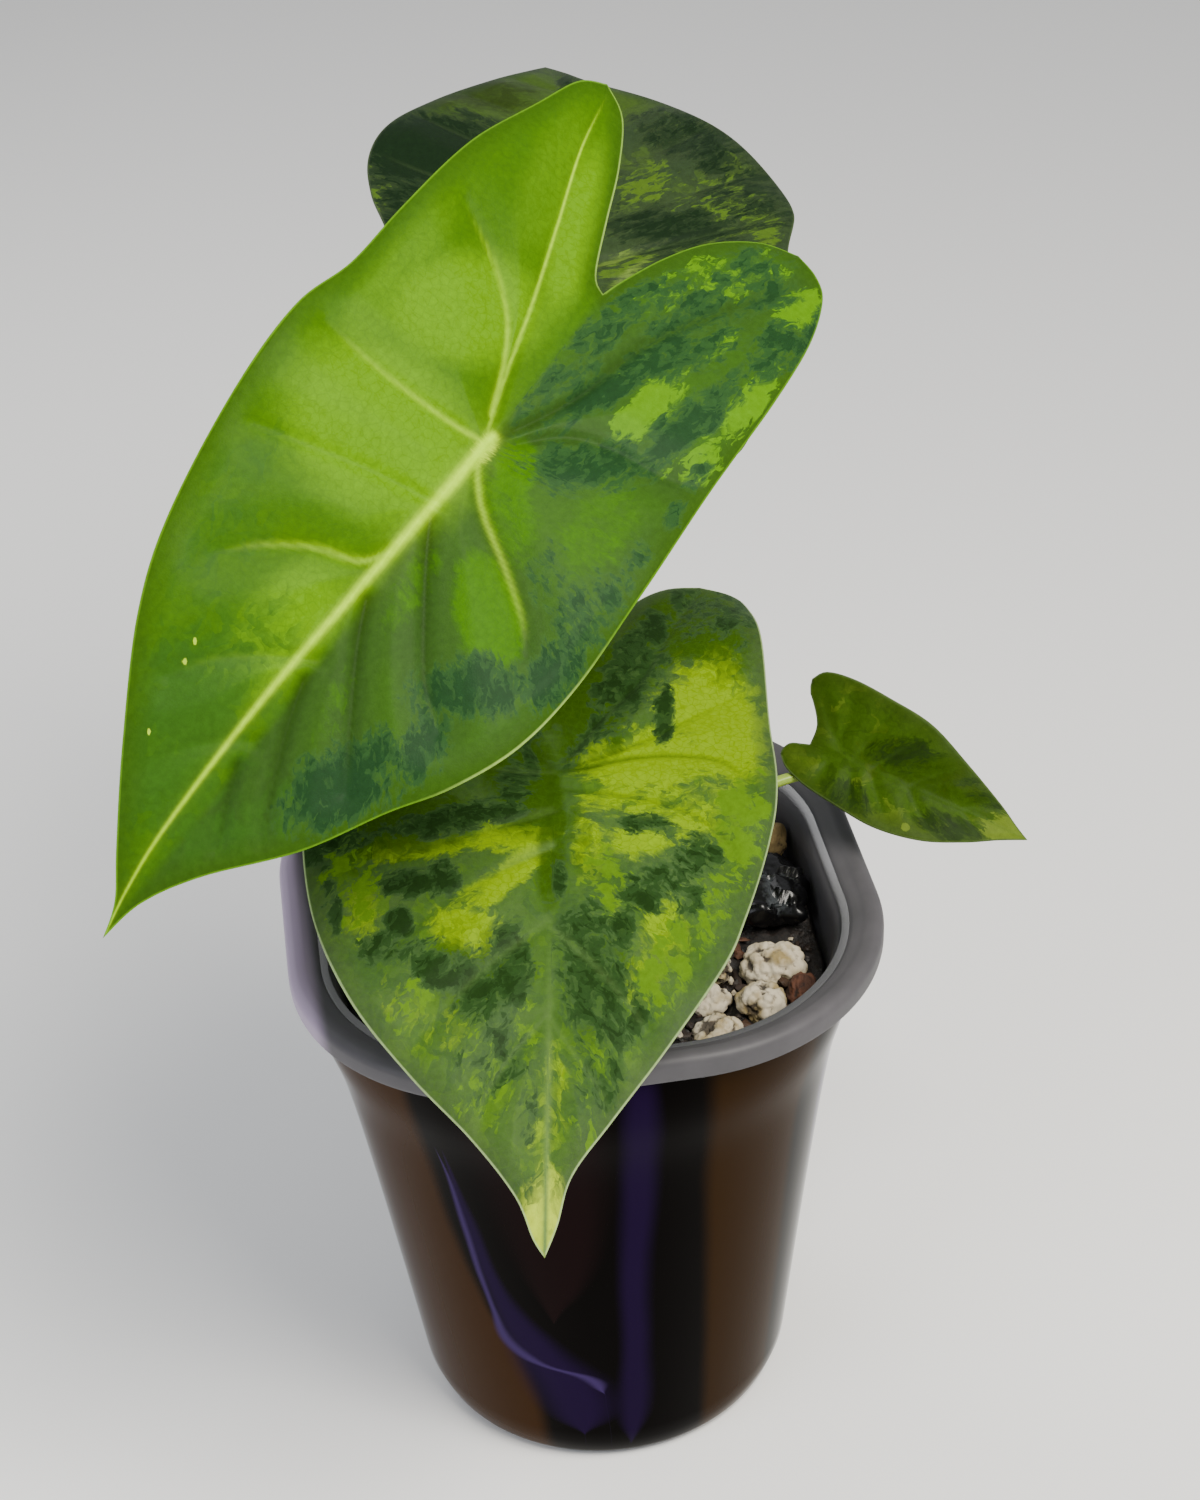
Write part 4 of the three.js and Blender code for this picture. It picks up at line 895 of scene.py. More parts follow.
# %% From rows to a shell
def weld(grids):
    """One list of points for several grids of rows, and each grid as vertex numbers."""
    flat = np.vstack([g.reshape(-1, 2) for g in grids])
    keys = np.round(flat * 500).astype(np.int64)
    _, first, number = np.unique(keys, axis=0, return_index=True, return_inverse=True)
    number = number.reshape(-1)
    parts, at = [], 0
    for g in grids:
        parts.append(number[at:at + g.shape[0] * g.shape[1]].reshape(g.shape[:2]))
        at += g.shape[0] * g.shape[1]
    return flat[first], parts, first


def upper_faces(points, rows):
    """Triangles between the rows, all turned to the upper face, without the ones that have no area."""
    faces = halved(weave(rows, closed=False))
    p, q, r = (points[faces[:, i]] for i in range(3))
    area = (q[:, 0] - p[:, 0]) * (r[:, 1] - p[:, 1]) - (r[:, 0] - p[:, 0]) * (q[:, 1] - p[:, 1])
    faces, area = faces[np.abs(area) > 1e-7], area[np.abs(area) > 1e-7]
    return np.where((area > 0)[:, None], faces, faces[:, ::-1])


def open_edges(faces):
    """Edges with a face on one side only, in the direction of that face."""
    edges = np.vstack([faces[:, [0, 1]], faces[:, [1, 2]], faces[:, [2, 0]]])
    known = {tuple(e) for e in edges.tolist()}
    return np.array([e for e in edges.tolist() if (e[1], e[0]) not in known])


def shell_faces(upper, count):
    """The upper face, the same face turned over for the lower one, and a band round the margin."""
    edge = open_edges(upper)
    band = np.vstack([np.stack([edge[:, 1], edge[:, 0], edge[:, 0] + count], -1),
                      np.stack([edge[:, 1], edge[:, 0] + count, edge[:, 1] + count], -1)])
    return np.vstack([upper, upper[:, ::-1] + count, band])


print("a square of two triangles has", len(open_edges(np.array([[0, 1, 2], [0, 2, 3]]))), "open edges")

# %% [markdown]
# ## Relief
# The midrib and the ribs stand out below as half-round cords, and the midrib shows above as a low
# ridge. The side veins crease the upper face, and the tissue between them is quilted up. All of it
# dies out towards the margin, and the creases do so round the petiole.

# %% Relief
MIDRIB_DEPTH, RIB_DEPTH, RIB_FOOT, RIB_RIDGE = 1.25, 0.7, 0.12, 0.22
VEIN_DEPTH, VEIN_CREASE, CREASE_WIDTH = 0.5, 0.55, 0.9
DEEP_CREASE = {"leaf_1": 1.5}  # how much deeper the veins with painted crease shade lie on this blade
QUILT, QUILT_REACH = 0.75, 7.0
RIB_WIDTH = 0.65  # a vein that starts wider than this is a rib


def blade_relief(name, leaf, frame_, points, margin):
    """Lift of the middle surface, extra height above, depth below, vein paleness and painted crease shade."""
    scale = min(1, frame_["length"] / 60)
    crease, below, above, pale, painted_crease_shade = (np.zeros(len(points)) for _ in range(5))
    nearest = np.full(len(points), 1e9)
    for i, (line, start, end, paleness) in enumerate(blade_veins(name, leaf, frame_)):
        away, share = distance_to(points, line)
        width = start + (end - start) * share
        round_ = np.exp(-((away / width) ** 2))
        first_, last_ = paleness if isinstance(paleness, tuple) else (paleness, 0.7 * paleness)
        fade = (first_ + (last_ - first_) * share) * (1 - ease(share, 0.75, 1.0) * (i > 0))
        tint = fade * (round_ + 0.14 * np.exp(-away / (2.2 * width)))
        # a paleness below 0 gives painted crease shade instead of a pale vein
        pale, painted_crease_shade = np.maximum(pale, tint), np.maximum(painted_crease_shade, -tint)
        rib = i < 3 if name in VEIN_RULE else width[np.argmin(share)] > RIB_WIDTH
        depth = (MIDRIB_DEPTH if i == 0 else RIB_DEPTH) * scale * (1 - share) ** 0.8 + RIB_FOOT
        below = np.maximum(below, depth * round_ if rib else VEIN_DEPTH * scale * (1 - 0.8 * share) * round_)
        above = np.maximum(above, RIB_RIDGE * scale * (1 - share) * round_ if i == 0 else 0)
        deeper = DEEP_CREASE.get(name, 1.0) if first_ < 0 else 1.0
        sunk = VEIN_CREASE * deeper * scale * (1 - 0.5 * share)
        crease = np.maximum(crease, 0 if i == 0 else sunk * np.exp(-((away / CREASE_WIDTH) ** 2)))
        nearest = np.minimum(nearest, away)
    edge = np.clip(margin / 4, 0, 1)
    lift = QUILT * scale * ease(nearest, 0, QUILT_REACH * scale) * edge
    crease = crease * ease(np.linalg.norm(points, axis=1), 1.5, 5)  # none where the stalk is joined
    return lift - crease * edge, above * edge, below * edge, np.clip(pale, 0, 1), np.clip(painted_crease_shade, 0, 1)


print("deepest rib", MIDRIB_DEPTH, "mm, deepest crease", round(VEIN_CREASE * max(DEEP_CREASE.values()), 2), "mm")

# %% [markdown]
# ## What the material needs
# The finish is painted by the material, but the mesh has to say where each point is: flat on the
# blade, along its row, and on its lobe, where the cells run the other way. Blender keeps such numbers
# as attributes of the mesh, and an attribute node reads them back.

# %% What the material needs
SINUS_PLACE = 400  # mm, so that the streaks of the sinus rows are their own


def row_place(leaf, frame_, counts):
    """How far along its row each point of the grids lies, and the row's place along the margin."""
    forward, backward, *_ = counts
    places = []
    for side in SIDES:
        outer, _ = half_outline(leaf, frame_, side)
        margin = line_length(outer)
        outer_rows, sinus_rows = half_rows(leaf, frame_, side, counts)
        share = np.concatenate([LOBE_LEVEL + (1 - LOBE_LEVEL) * np.linspace(1, 0, forward + 1),
                                LOBE_LEVEL * (1 - np.linspace(0, 1, backward + 1)[1:])])
        for rows, line in ((outer_rows, share * margin),
                           (sinus_rows, SINUS_PLACE + np.arange(backward + 1) * ROW_STEP)):
            run = np.concatenate([np.zeros((len(rows), 1)),
                                  np.cumsum(np.linalg.norm(np.diff(rows, axis=1), axis=2), axis=1)], axis=1)
            places.append(np.stack([run, np.repeat(line[:, None], rows.shape[1], axis=1)], -1).reshape(-1, 2))
    return np.vstack(places)


def store(mesh, name, values):
    """Keeps one number, or one vector, for each vertex."""
    values = np.asarray(values, np.float32)
    kind, key = ("FLOAT", "value") if values.ndim == 1 else ("FLOAT_VECTOR", "vector")
    mesh.attributes.new(name, kind, "POINT").data.foreach_set(key, values.ravel())


def both_faces(values):
    """Values of the upper face's points, and again for the lower face's."""
    return np.concatenate([values, values])


def store_places(mesh, leaf, a, w, row, seed):
    """Where a point is on the blade, its row and its lobe, and a number that sets blades and halves apart."""
    lobe = np.zeros((len(a), 2))
    for side, sign in SIDES.items():
        along = unit(np.array(leaf[side]["outer"][0]) * [1, sign])
        on_side = w * sign >= 0
        lobe[on_side] = np.stack([a * along[0] + w * along[1], w * along[0] - a * along[1]], -1)[on_side]
    half = 9 * (w > 0)
    for name, place, apart in (("on_blade", np.stack([a, w], -1), 50.0 * seed + 0 * w),
                               ("on_row", row, 31.0 * seed + half), ("on_lobe", lobe, 17.0 * seed + half)):
        store(mesh, name, both_faces(np.column_stack([place, apart])))


print("the places are kept for both faces:", both_faces(np.zeros(5)).shape[0], "values for 5 points")

# %% [markdown]
# ## Building a blade
# The shell's two faces lie half a thickness above and below the blade's middle surface, which is the
# solid's. The margin is thinner than the rest. The veins and markings are kept on the mesh as well.

# %% Building a blade
BLADE_THICK, MARGIN_THICK, MARGIN_WIDTH = 0.6, 0.36, 1.2


def build_blade(name, leaf, material, seed):
    frame_ = blade_frame(leaf)
    counts = row_counts(leaf, frame_)
    grids = []
    for side, sign in SIDES.items():
        grids += [rows * np.array([1, sign]) for rows in half_rows(leaf, frame_, side, counts)]
    points, parts, first = weld(grids)
    upper = np.vstack([upper_faces(points, rows) for rows in parts])
    a, w = points.T
    margin = np.full(len(points), 1e9)
    for side, sign in SIDES.items():
        for line in half_outline(leaf, frame_, side):
            margin = np.minimum(margin, distance_to(points, (line * np.array([1, sign]))[::6])[0])
    lift, above, below, pale, painted_crease_shade = blade_relief(name, leaf, frame_, points, margin)
    thick = MARGIN_THICK + (BLADE_THICK - MARGIN_THICK) * np.clip(margin / MARGIN_WIDTH, 0, 1)
    middle, normal = blade_point(leaf, frame_, a, w), blade_normal(leaf, frame_, a, w)
    top = middle + normal * (lift + thick / 2 + above)[:, None]
    bottom = middle + normal * (lift - thick / 2 - below)[:, None]
    piece = make_piece(f"blade_{name[-1]}", np.vstack([top, bottom]), shell_faces(upper, len(points)), material,
                       [name])
    store_places(piece.data, leaf, a, w, row_place(leaf, frame_, counts)[first], seed)
    fields = {"left": 1 - right_half(w), "sheen_on_quilts": np.clip(lift / (QUILT * 0.9), 0, 1), "vein": pale,
              "vein_shade": painted_crease_shade, "to_margin": margin}
    for kind in ("olive", "dark", "light", "bright", "lush", "pale", "margin_glint"):
        fields[kind] = mark_field(name, kind, a, w)
    for key, values in fields.items():
        store(piece.data, key, both_faces(values))
    store(piece.data, "under", np.repeat([0.0, 1.0], len(points)))
    return piece


print("blades are", BLADE_THICK, "mm thick and", MARGIN_THICK, "mm at the margin")

# %% [markdown]
# ## The blades' tones
# Each blade has its own set of tones, and they carry painted light and shade: the large one catches
# the light, the one behind it is in shade and gets darker tones, and the low one is older. "base" and
# "left" are the mid green of the two halves, "soft" is a painted sheen over the quilted tissue, and the
# margin's highlight tone is a painted highlight. The grain is finer across a row than along it, as the
# cells are, and a higher tear gives more ragged patches.

# %% The blades' tones
BLADE_TONES = {
    "leaf_1": dict(base="#2b4618", left="#375d00", soft="#345910", lush="#356000", bright="#548000", light="#4b7706",
                   middle="#2e4c1e", dark="#244220", deep="#1b371b", pale="#a1c218", vein="#a6d20c", net="#2c4a14",
                   rim="#5c8a14", edge="#2d4a0c", under="#507232", olive="#2c5016", shade="#1d340a", margin_glint="#8fae56"),
    # this blade's darker tones are painted shade, as it lies in shade behind the large blade
    "leaf_2": dict(base="#2a3b1d", left="#2c3b22", soft="#263624", lush="#2f4420", bright="#364c1a", light="#415a1b",
                   middle="#25321d", dark="#1c2b19", deep="#142313", pale="#586e2c", vein="#37472a", net="#24331c",
                   rim="#415032", edge="#283522", under="#465b36", olive="#22300c", shade="#16200f", margin_glint="#5c7430"),
    "leaf_3": dict(base="#38541e", left="#38541e", soft="#455a33", lush="#446a0c", bright="#6e8c00", light="#4c6e10",
                   middle="#304826", dark="#223a18", deep="#1a2f10", pale="#a2b62c", vein="#56703c", net="#3a5a12",
                   rim="#93aa72", edge="#384a2a", under="#526f36", olive="#2a4402", shade="#243c06", margin_glint="#5c7430"),
    "leaf_4": dict(base="#314a0c", left="#314a0c", soft="#304612", lush="#314a08", bright="#3f5410", light="#55681a",
                   middle="#20330a", dark="#1c2e0a", deep="#1a2a0a", pale="#748034", vein="#36501a", net="#22360e",
                   rim="#46572c", edge="#2c3e11", under="#48602d", olive="#223600", shade="#1c2d06", margin_glint="#748034"),
}
BLADE_GRAIN = {  # cells to a mm along and across a row, then along and across a lobe; tear; mottle; net
    "leaf_1": ((0.62, 0.95), (0.45, 0.9), (0.95, 0.08), (0.0, 0.0), 0.16),
    "leaf_2": ((0.45, 0.95), (0.35, 0.9), (0.9, 0.3), (0.5, 0.35), 0.16),
    "leaf_3": ((0.55, 0.62), (0.5, 0.6), (0.95, 0.85), (0.55, 0.5), 0.22),
    "leaf_4": ((0.6, 0.8), (0.5, 0.8), (0.7, 0.3), (0.45, 0.5), 0.2),
}
TORN_WITHIN = 0.25  # grain tears a patch only where its field is above about this
print("tones of a blade:", len(BLADE_TONES["leaf_1"]))

# %% [markdown]
# ## The blades' finish
# A frydek blade feels like velvet: its upper cells are tiny domes that scatter light at a slant, so a
# little sheen lies over a soft, fairly rough skin. Leaf tissue has an IOR near 1.42, and light goes
# some way through it. The tones are layered on the mid green: a painted sheen on the quilted tissue,
# bright tissue, a fine net of veins with meshes about 1.5 mm wide, light and dark sectors with torn
# edges, then the larger veins, with painted shade along the creased ones, the paler underside and the
# margin, with a thin pale rim and in places a painted highlight along it.

# %% The blades' finish
def cell_grain(tree, place, cells, shift):
    """Grain from 0 to 1 that is even within each of the small cells between the finest veins."""
    fit = stretched(tree, place, (*cells, 1), shift)
    bend = add(tree, "ShaderNodeTexNoise", {"Vector": fit, "Scale": 0.6, "Detail": 2.0}).outputs["Color"]
    bent = add(tree, "ShaderNodeVectorMath", {0: bend, 1: (2.4, 2.4, 0), 2: fit},
               operation="MULTIPLY_ADD").outputs["Vector"]
    layers = []
    for cell_scale, noise_scale in ((1.0, 0.28), (3.0, 0.8)):
        cell = add(tree, "ShaderNodeTexVoronoi", {"Vector": bent, "Scale": cell_scale}).outputs["Position"]
        layers.append(noisy(tree, cell, noise_scale, 4.0, 0.65))
    return mapped(tree, mixed(tree, 0.5, *layers, kind="FLOAT"), 0.39, 0.61)


def over(tree, field, grain, reach):
    """A soft field pushed up and down by a grain, so that its outline at 0.5 is torn."""
    push = maths(tree, "MULTIPLY_ADD", grain, reach, -reach / 2)
    return maths(tree, "MULTIPLY_ADD", push, mapped(tree, field, 0.0, TORN_WITHIN), field)


def blade_material(name):
    tones = {key: linear(tone) for key, tone in BLADE_TONES[name].items()}
    material, tree, shader = new_material("velvety_alocasia_blade_" + name[-1])
    flat, row, lobe = (stored(tree, key, "Vector") for key in ("on_blade", "on_row", "on_lobe"))
    along = add(tree, "ShaderNodeSeparateXYZ", {"Vector": flat}).outputs["X"]
    on_lobe = mapped(tree, along, 2.0, -7.0, smooth=True)
    row_cells, lobe_cells, (tear, bright_tear), (middle_mottle, light_mottle), net_amount = BLADE_GRAIN[name]
    dark_grain, light_grain = (mixed(tree, on_lobe, cell_grain(tree, row, row_cells, shift),
                                     cell_grain(tree, lobe, lobe_cells, shift), kind="FLOAT") for shift in (0.0, 37.0))
    broad = cell_grain(tree, flat, (0.3, 0.34), 71.0)
    fleck, cloud, pores = noisy(tree, flat, 0.9, 4.0, 0.6), noisy(tree, flat, 0.09, 3.0), noisy(tree, flat, 3.2, 3.0)
    net = add(tree, "ShaderNodeTexVoronoi", {"Vector": flat, "Scale": 0.75}, feature="DISTANCE_TO_EDGE")
    torn = {kind: over(tree, stored(tree, kind), grain, reach) for kind, grain, reach in (
        ("dark", dark_grain, tear), ("light", light_grain, 0.85 * tear), ("bright", light_grain, bright_tear),
        ("olive", broad, 0.5), ("pale", light_grain, 0.35), ("lush", dark_grain, 0.3))}
    # the quilt share, broken by a soft cloud, says where a painted sheen lies on the quilted tissue
    sheen_on_quilts = maths(tree, "MULTIPLY", stored(tree, "sheen_on_quilts"), mapped(tree, cloud, 0.35, 0.65, 0.4, 1.0))
    margin = stored(tree, "to_margin")
    # painted highlight along the outer 0.4 mm of the margin, where the marks put it
    margin_glint = add(tree, "ShaderNodeMath", {0: mapped(tree, margin, 0.4, 0.15), 1: stored(tree, "margin_glint")},
               operation="MULTIPLY", use_clamp=True).outputs[0]
    colour = mixed(tree, stored(tree, "left"), tones["base"], tones["left"])
    for amount, tone in (
        # painted sheen on the quilted tissue between the veins
        (mapped(tree, sheen_on_quilts, 0.0, 1.0, 0.0, 0.6), "soft"),
        (mapped(tree, torn["lush"], 0.3, 0.7, smooth=True), "lush"),
        (mapped(tree, broad, 0.66, 0.84, 0.0, light_mottle), "light"),
        (mapped(tree, broad, 0.34, 0.2, 0.0, middle_mottle), "middle"),
        (mapped(tree, torn["bright"], 0.18, 0.8, smooth=True), "bright"),
        (mapped(tree, torn["olive"], 0.25, 0.8, 0.0, 0.9, smooth=True), "olive"),
        (mapped(tree, margin, 4.0, 0.8, 0.0, 0.7), "edge"),
        (mapped(tree, net.outputs["Distance"], 0.1, 0.02, 0.0, net_amount), "net"),
        (mapped(tree, torn["light"], 0.42, 0.58), "light"),
        (mapped(tree, torn["dark"], 0.28, 0.42, 0.0, 0.75), "middle"),
        (mapped(tree, torn["dark"], 0.5, 0.6, 0.0, 0.9), "dark"),
        (mapped(tree, torn["dark"], 0.78, 0.9), "deep"),
        (mapped(tree, torn["pale"], 0.3, 0.8, smooth=True), "pale"),
        # painted crease shade along the veins that lie in creases
        (stored(tree, "vein_shade"), "shade"),
        (stored(tree, "vein"), "vein"),
        (mapped(tree, stored(tree, "under"), 0.0, 1.0, 0.0, 0.75), "under"),
        (mapped(tree, margin, 0.32, 0.1, 0.0, 0.85), "rim"),
        (margin_glint, "margin_glint"),
    ):
        colour = mixed(tree, amount, colour, tones[tone])
    shade = mapped(tree, fleck, 0.3, 0.7, 0.88, 1.12)
    shaded = add(tree, "ShaderNodeVectorMath", {0: colour, "Scale": shade}, operation="SCALE").outputs["Vector"]
    finish_surface(tree, shader, shaded, 0.42, **{
        "IOR": 1.42, "Specular IOR Level": 0.04, "Subsurface Weight": 0.06, "Subsurface Scale": 0.0006,
        "Subsurface Radius": (0.6, 1.0, 0.2), "Sheen Weight": 0.006, "Sheen Roughness": 0.4,
        "Sheen Tint": linear("#c8e0a8"), "Normal": bumped(tree, pores, 0.12, 0.0003)})
    return material


for seed, (name, leaf) in enumerate(LEAVES.items(), 1):
    blade = build_blade(name, leaf, blade_material(name), seed)
    print(blade.name, "faces:", len(blade.data.polygons))

# %% [markdown]
# ## Petioles
# A petiole is a firm, waxy stalk, round below and slightly channelled above, with fine fibres along
# it. Its foot widens, as a sheath does, and stands flat on the stem, and its top runs into the
# midrib. The centre line is a smooth curve through a few points, and rings of the section are swept
# along it.

# %% Petioles
PETIOLES = {  # leaf, reach of the straight end in mm, centre line, radius along it, side the channel faces
    "petiole_1": ("leaf_1", 9, [(-4.4, 0.8, 97.3), (-4, 6, 115), (-1.8, 12, 143), (-4, 8, 172), (-8, -8, 193)],
                  [(0, 3.4), (0.12, 3), (0.4, 2.3), (0.85, 1.7), (1, 2)], (0.3, -1, 0)),
    "petiole_2": ("leaf_2", 9, [(1.9, 4.6, 97.3), (2.6, 11.5, 115), (4, 26, 145), (6.2, 38.5, 173)],
                  [(0, 3.4), (0.12, 3), (0.4, 2.2), (0.85, 1.6), (1, 1.9)], (0, -1, 0.3)),
    "petiole_3": ("leaf_3", 7, [(-0.4, -5.2, 97.3), (-0.9, -10.5, 112), (-1.6, -17, 127)],
                  [(0, 3.2), (0.2, 2.7), (0.6, 2), (0.85, 1.7), (1, 1.9)], (0, 1, 0)),
    "petiole_4": ("leaf_4", 3, [(5.2, -1.2, 97.3), (9, 1, 105), (20, 5.5, 113.5), (37.8, 10.6, 118.3), (45, 12, 118.2)],
                  [(0, 2.6), (0.15, 1.9), (0.4, 1.1), (0.8, 0.9), (1, 1)], (-0.3, 0, 1)),
}
PETIOLE_SIDES, PETIOLE_RING_STEP = 40, 0.9
FOOT_DROP = 0.25  # mm by which the foot closes the gap to the stem
SHEATH_END = 0.3  # share of the petiole that the sheath takes
UP = np.array([0, 0, 1.0])
SOLID_RIB, SOLID_THICK, FULL_SIZE = 1.2, 0.9, 60  # the solid blade's, because the solid petiole ends below it
END_PLAY, END_IN_BLADE = 0.3, 0.55  # mm below the solid blade, and mm under the middle of the fine one


def smooth_path(points, steps=30):
    """Dense points along a curve through the given ones that never overshoots between close points."""
    p = np.array(points, float)
    p = np.vstack([2 * p[:1] - p[1:2], p, 2 * p[-1:] - p[-2:-1]])
    t = np.linspace(0, 1, steps, endpoint=False)[:, None]
    pieces = []
    for p0, p1, p2, p3 in zip(p, p[1:], p[2:], p[3:]):
        d0, d1, d2 = (math.sqrt(np.linalg.norm(v)) for v in (p1 - p0, p2 - p1, p3 - p2))
        v1 = ((p1 - p0) / d0 - (p2 - p0) / (d0 + d1) + (p2 - p1) / d1) * d1
        v2 = ((p2 - p1) / d1 - (p3 - p1) / (d1 + d2) + (p3 - p2) / d2) * d1
        pieces.append(stretch(p1, p2, v1, v2, t))
    return np.vstack([*pieces, p[-2:-1]])


def petiole_path(leaf_name, reach, points):
    """The centre line, whose last stretch is straight and meets the blade at a right angle."""
    frame_ = blade_frame(LEAVES[leaf_name])
    scale = min(1, frame_["length"] / FULL_SIZE)
    depth = SOLID_THICK / 2 + SOLID_RIB * scale + GAP + END_PLAY
    end = frame_["attach"] - frame_["n"] * depth
    path = smooth_path([*points, end - frame_["n"] * reach, end])
    return np.vstack([path, [frame_["attach"] - frame_["n"] * END_IN_BLADE]])


def petiole_rings(line, radius, share, front):
    """Rings of the channelled section along a line; the channel faces front."""
    angle = np.linspace(0, 2 * math.pi, PETIOLE_SIDES, endpoint=False)
    off = np.abs((angle + math.pi) % (2 * math.pi) - math.pi)
    channel, shoulder = np.exp(-((off / 0.42) ** 2)), np.exp(-(((off - 0.85) / 0.35) ** 2))
    fibre = 0.012 * np.cos(angle * 13)
    rings, last = [], len(line) - 1
    for i, centre in enumerate(line):
        ahead = unit(line[min(i + 1, last)] - line[max(i - 1, 0)])
        front = square_to(front, ahead)
        sheath = np.clip(1 - share[i] / SHEATH_END, 0, 1)
        r = radius[i] * (1 - (0.1 + 0.12 * sheath) * channel + (0.04 + 0.1 * sheath) * shoulder + fibre)
        level = i == 0  # the foot stands flat on the stem
        to_front, axis = (square_to(front, UP), UP) if level else (front, ahead)
        around = np.cos(angle)[:, None] * to_front + np.sin(angle)[:, None] * np.cross(axis, to_front)
        rings.append(centre - (FOOT_DROP * UP if level else 0) + r[:, None] * around)
    return rings


def build_petiole(name, material):
    leaf_name, reach, points, radii, channel_side = PETIOLES[name]
    path = petiole_path(leaf_name, reach, points)
    run = run_along(path)
    count = int(run[-1] / PETIOLE_RING_STEP)
    at = np.linspace(0, run[-1], count + 1)
    line = np.stack([np.interp(at, run, path[:, k]) for k in range(3)], -1)
    share = at / run[-1]
    rings = petiole_rings(line, value_along(radii, share), share, np.array(channel_side, float))
    rows = np.arange((count + 1) * PETIOLE_SIDES).reshape(-1, PETIOLE_SIDES)
    faces = weave(rows).tolist() + end_caps(rows, rows.size, rows.size + 1).tolist()
    piece = make_piece("stalk_" + name[-1], np.vstack([*rings, line[:1] - FOOT_DROP * UP, line[-1:]]), faces,
                       material, [name])
    store(piece.data, "share", np.concatenate([np.repeat(share, PETIOLE_SIDES), [0, 1]]))
    return piece


for name, row in PETIOLES.items():
    print(name, "length:", round(float(run_along(petiole_path(*row[:3]))[-1])), "mm")

# %% [markdown]
# ## The petioles' finish
# The wax makes a petiole smoother than the blade, and it glows a little where light passes through.
# It is pale green, brownish at the foot with a few small spots there, and fine darker fibres run
# along it. Their noise is stretched about twelve times along the height.

# %% The petioles' finish
def petiole_material():
    material, tree, shader = new_material("waxy_green_petiole")
    share, place = stored(tree, "share"), add(tree, "ShaderNodeTexCoord").outputs["Object"]
    fibre = noisy(tree, stretched(tree, place, (1400, 1400, 120)), 1.0, 3.0)
    spots = maths(tree, "MULTIPLY", mapped(tree, noisy(tree, place, 900.0, 3.0), 0.6, 0.68),
                  mapped(tree, share, 0.6, 0.1))
    colour = linear("#8fa83e")
    for amount, tone in ((mapped(tree, fibre, 0.35, 0.65, 0.0, 0.5), "#7a9632"),
                         (mapped(tree, share, 0.28, 0.0, 0.0, 0.75), "#8d8c52"), (spots, "#6e5a36")):
        colour = mixed(tree, amount, colour, linear(tone))
    finish_surface(tree, shader, colour, 0.38, **{"IOR": 1.42, "Subsurface Weight": 0.2,
                                                  "Subsurface Scale": 0.0012, "Subsurface Radius": (0.7, 1.0, 0.25)})
    return material


stalk_finish = petiole_material()
for name in PETIOLES:
    stalk = build_petiole(name, stalk_finish)
    print(stalk.name, "faces:", len(stalk.data.polygons))

# %% [markdown]
# ## The stem
# The four petioles leave one short upright stem, which stands in its hole in the mix. Each fallen
# leaf has left a ring, and old sheaths have dried to brown fibres between the rings.

# %% The stem
STEM_RINGS = [(58, 3), (63, 7.2), (71, 9.2), (79, 8.9), (86, 9.5), (91, 9.1), (95, 9.3), (97, 8.8)]
STEM_SIDES, STEM_LEVELS = 96, 90
SCAR_STEP = 2.6  # mm from one leaf scar to the next
CROWN_RINGS, CROWN_RISE = 7, 0.35  # the crown rises a little towards its middle


def stem_material():
    material, tree, shader = new_material("ringed_corky_stem")
    place = add(tree, "ShaderNodeTexCoord").outputs["Object"]
    rings = noisy(tree, stretched(tree, place, (120, 120, 900)), 1.0, 4.0)
    fibre = noisy(tree, stretched(tree, place, (900, 900, 90)), 1.0, 4.0)
    colour = mixed(tree, mapped(tree, rings, 0.4, 0.62), linear("#7c7a45"), linear("#6a5433"))
    colour = mixed(tree, mapped(tree, fibre, 0.5, 0.66), colour, linear("#3d2c1c"))
    finish_surface(tree, shader, colour, 0.75, Normal=bumped(tree, fibre, 0.5, 0.0004))
    return material


def build_stem():
    low, high = STEM_RINGS[0][0], STEM_RINGS[-1][0]
    z = np.linspace(low, high, STEM_LEVELS)
    angle = np.linspace(0, 2 * math.pi, STEM_SIDES, endpoint=False)
    scar = 0.16 * np.cos(z * 2 * math.pi / SCAR_STEP)[:, None] * (0.6 + 0.4 * np.cos(3 * angle + 1.3)[None, :])
    ridge = 0.1 * np.cos(19 * angle[None, :] + 0.3 * np.sin(z * 1.3)[:, None])
    r = value_along(STEM_RINGS, z)[:, None] + scar + ridge
    rings = np.stack([r * np.cos(angle), r * np.sin(angle), np.repeat(z[:, None], STEM_SIDES, 1)], -1)
    crown = [rings[-1] * [1 - share, 1 - share, 1] + [0, 0, CROWN_RISE * math.sin(share * math.pi / 2)]
             for share in (k / CROWN_RINGS for k in range(1, CROWN_RINGS))]
    points = np.vstack([*rings, *crown, [[0, 0, low]], [[0, 0, high + CROWN_RISE]]])
    rows = np.arange(len(points) - 2).reshape(-1, STEM_SIDES)
    faces = np.vstack([halved(weave(rows)), end_caps(rows, rows.size, rows.size + 1)])
    return make_piece("ringed_stem", points, faces, stem_material(), ["stem"])


stem = build_stem()
print("stem faces:", len(stem.data.polygons))

# %% [markdown]
# ## The potting mix
# Aroid mix is coarse: fir bark, charcoal, perlite and coir, here wet and almost black. The bed is one
# closed body that fills the liner. Its top follows the solid, with the beds in which the lumps lie
# and a low bank at the back, and is broken up by noise at two sizes.

# %% The potting mix
MIX_SIDES, MIX_RINGS = 240, 96
CLOD_HEIGHT, GRIT_HEIGHT = 0.9, 0.35
MIX_INSIDE, MIX_DEEPEST = 0.985, 5  # heights are read just inside the solid's edge, and no bed is deeper in mm
ABOVE_ALL = 140  # mm, from where rays are cast down on the mix


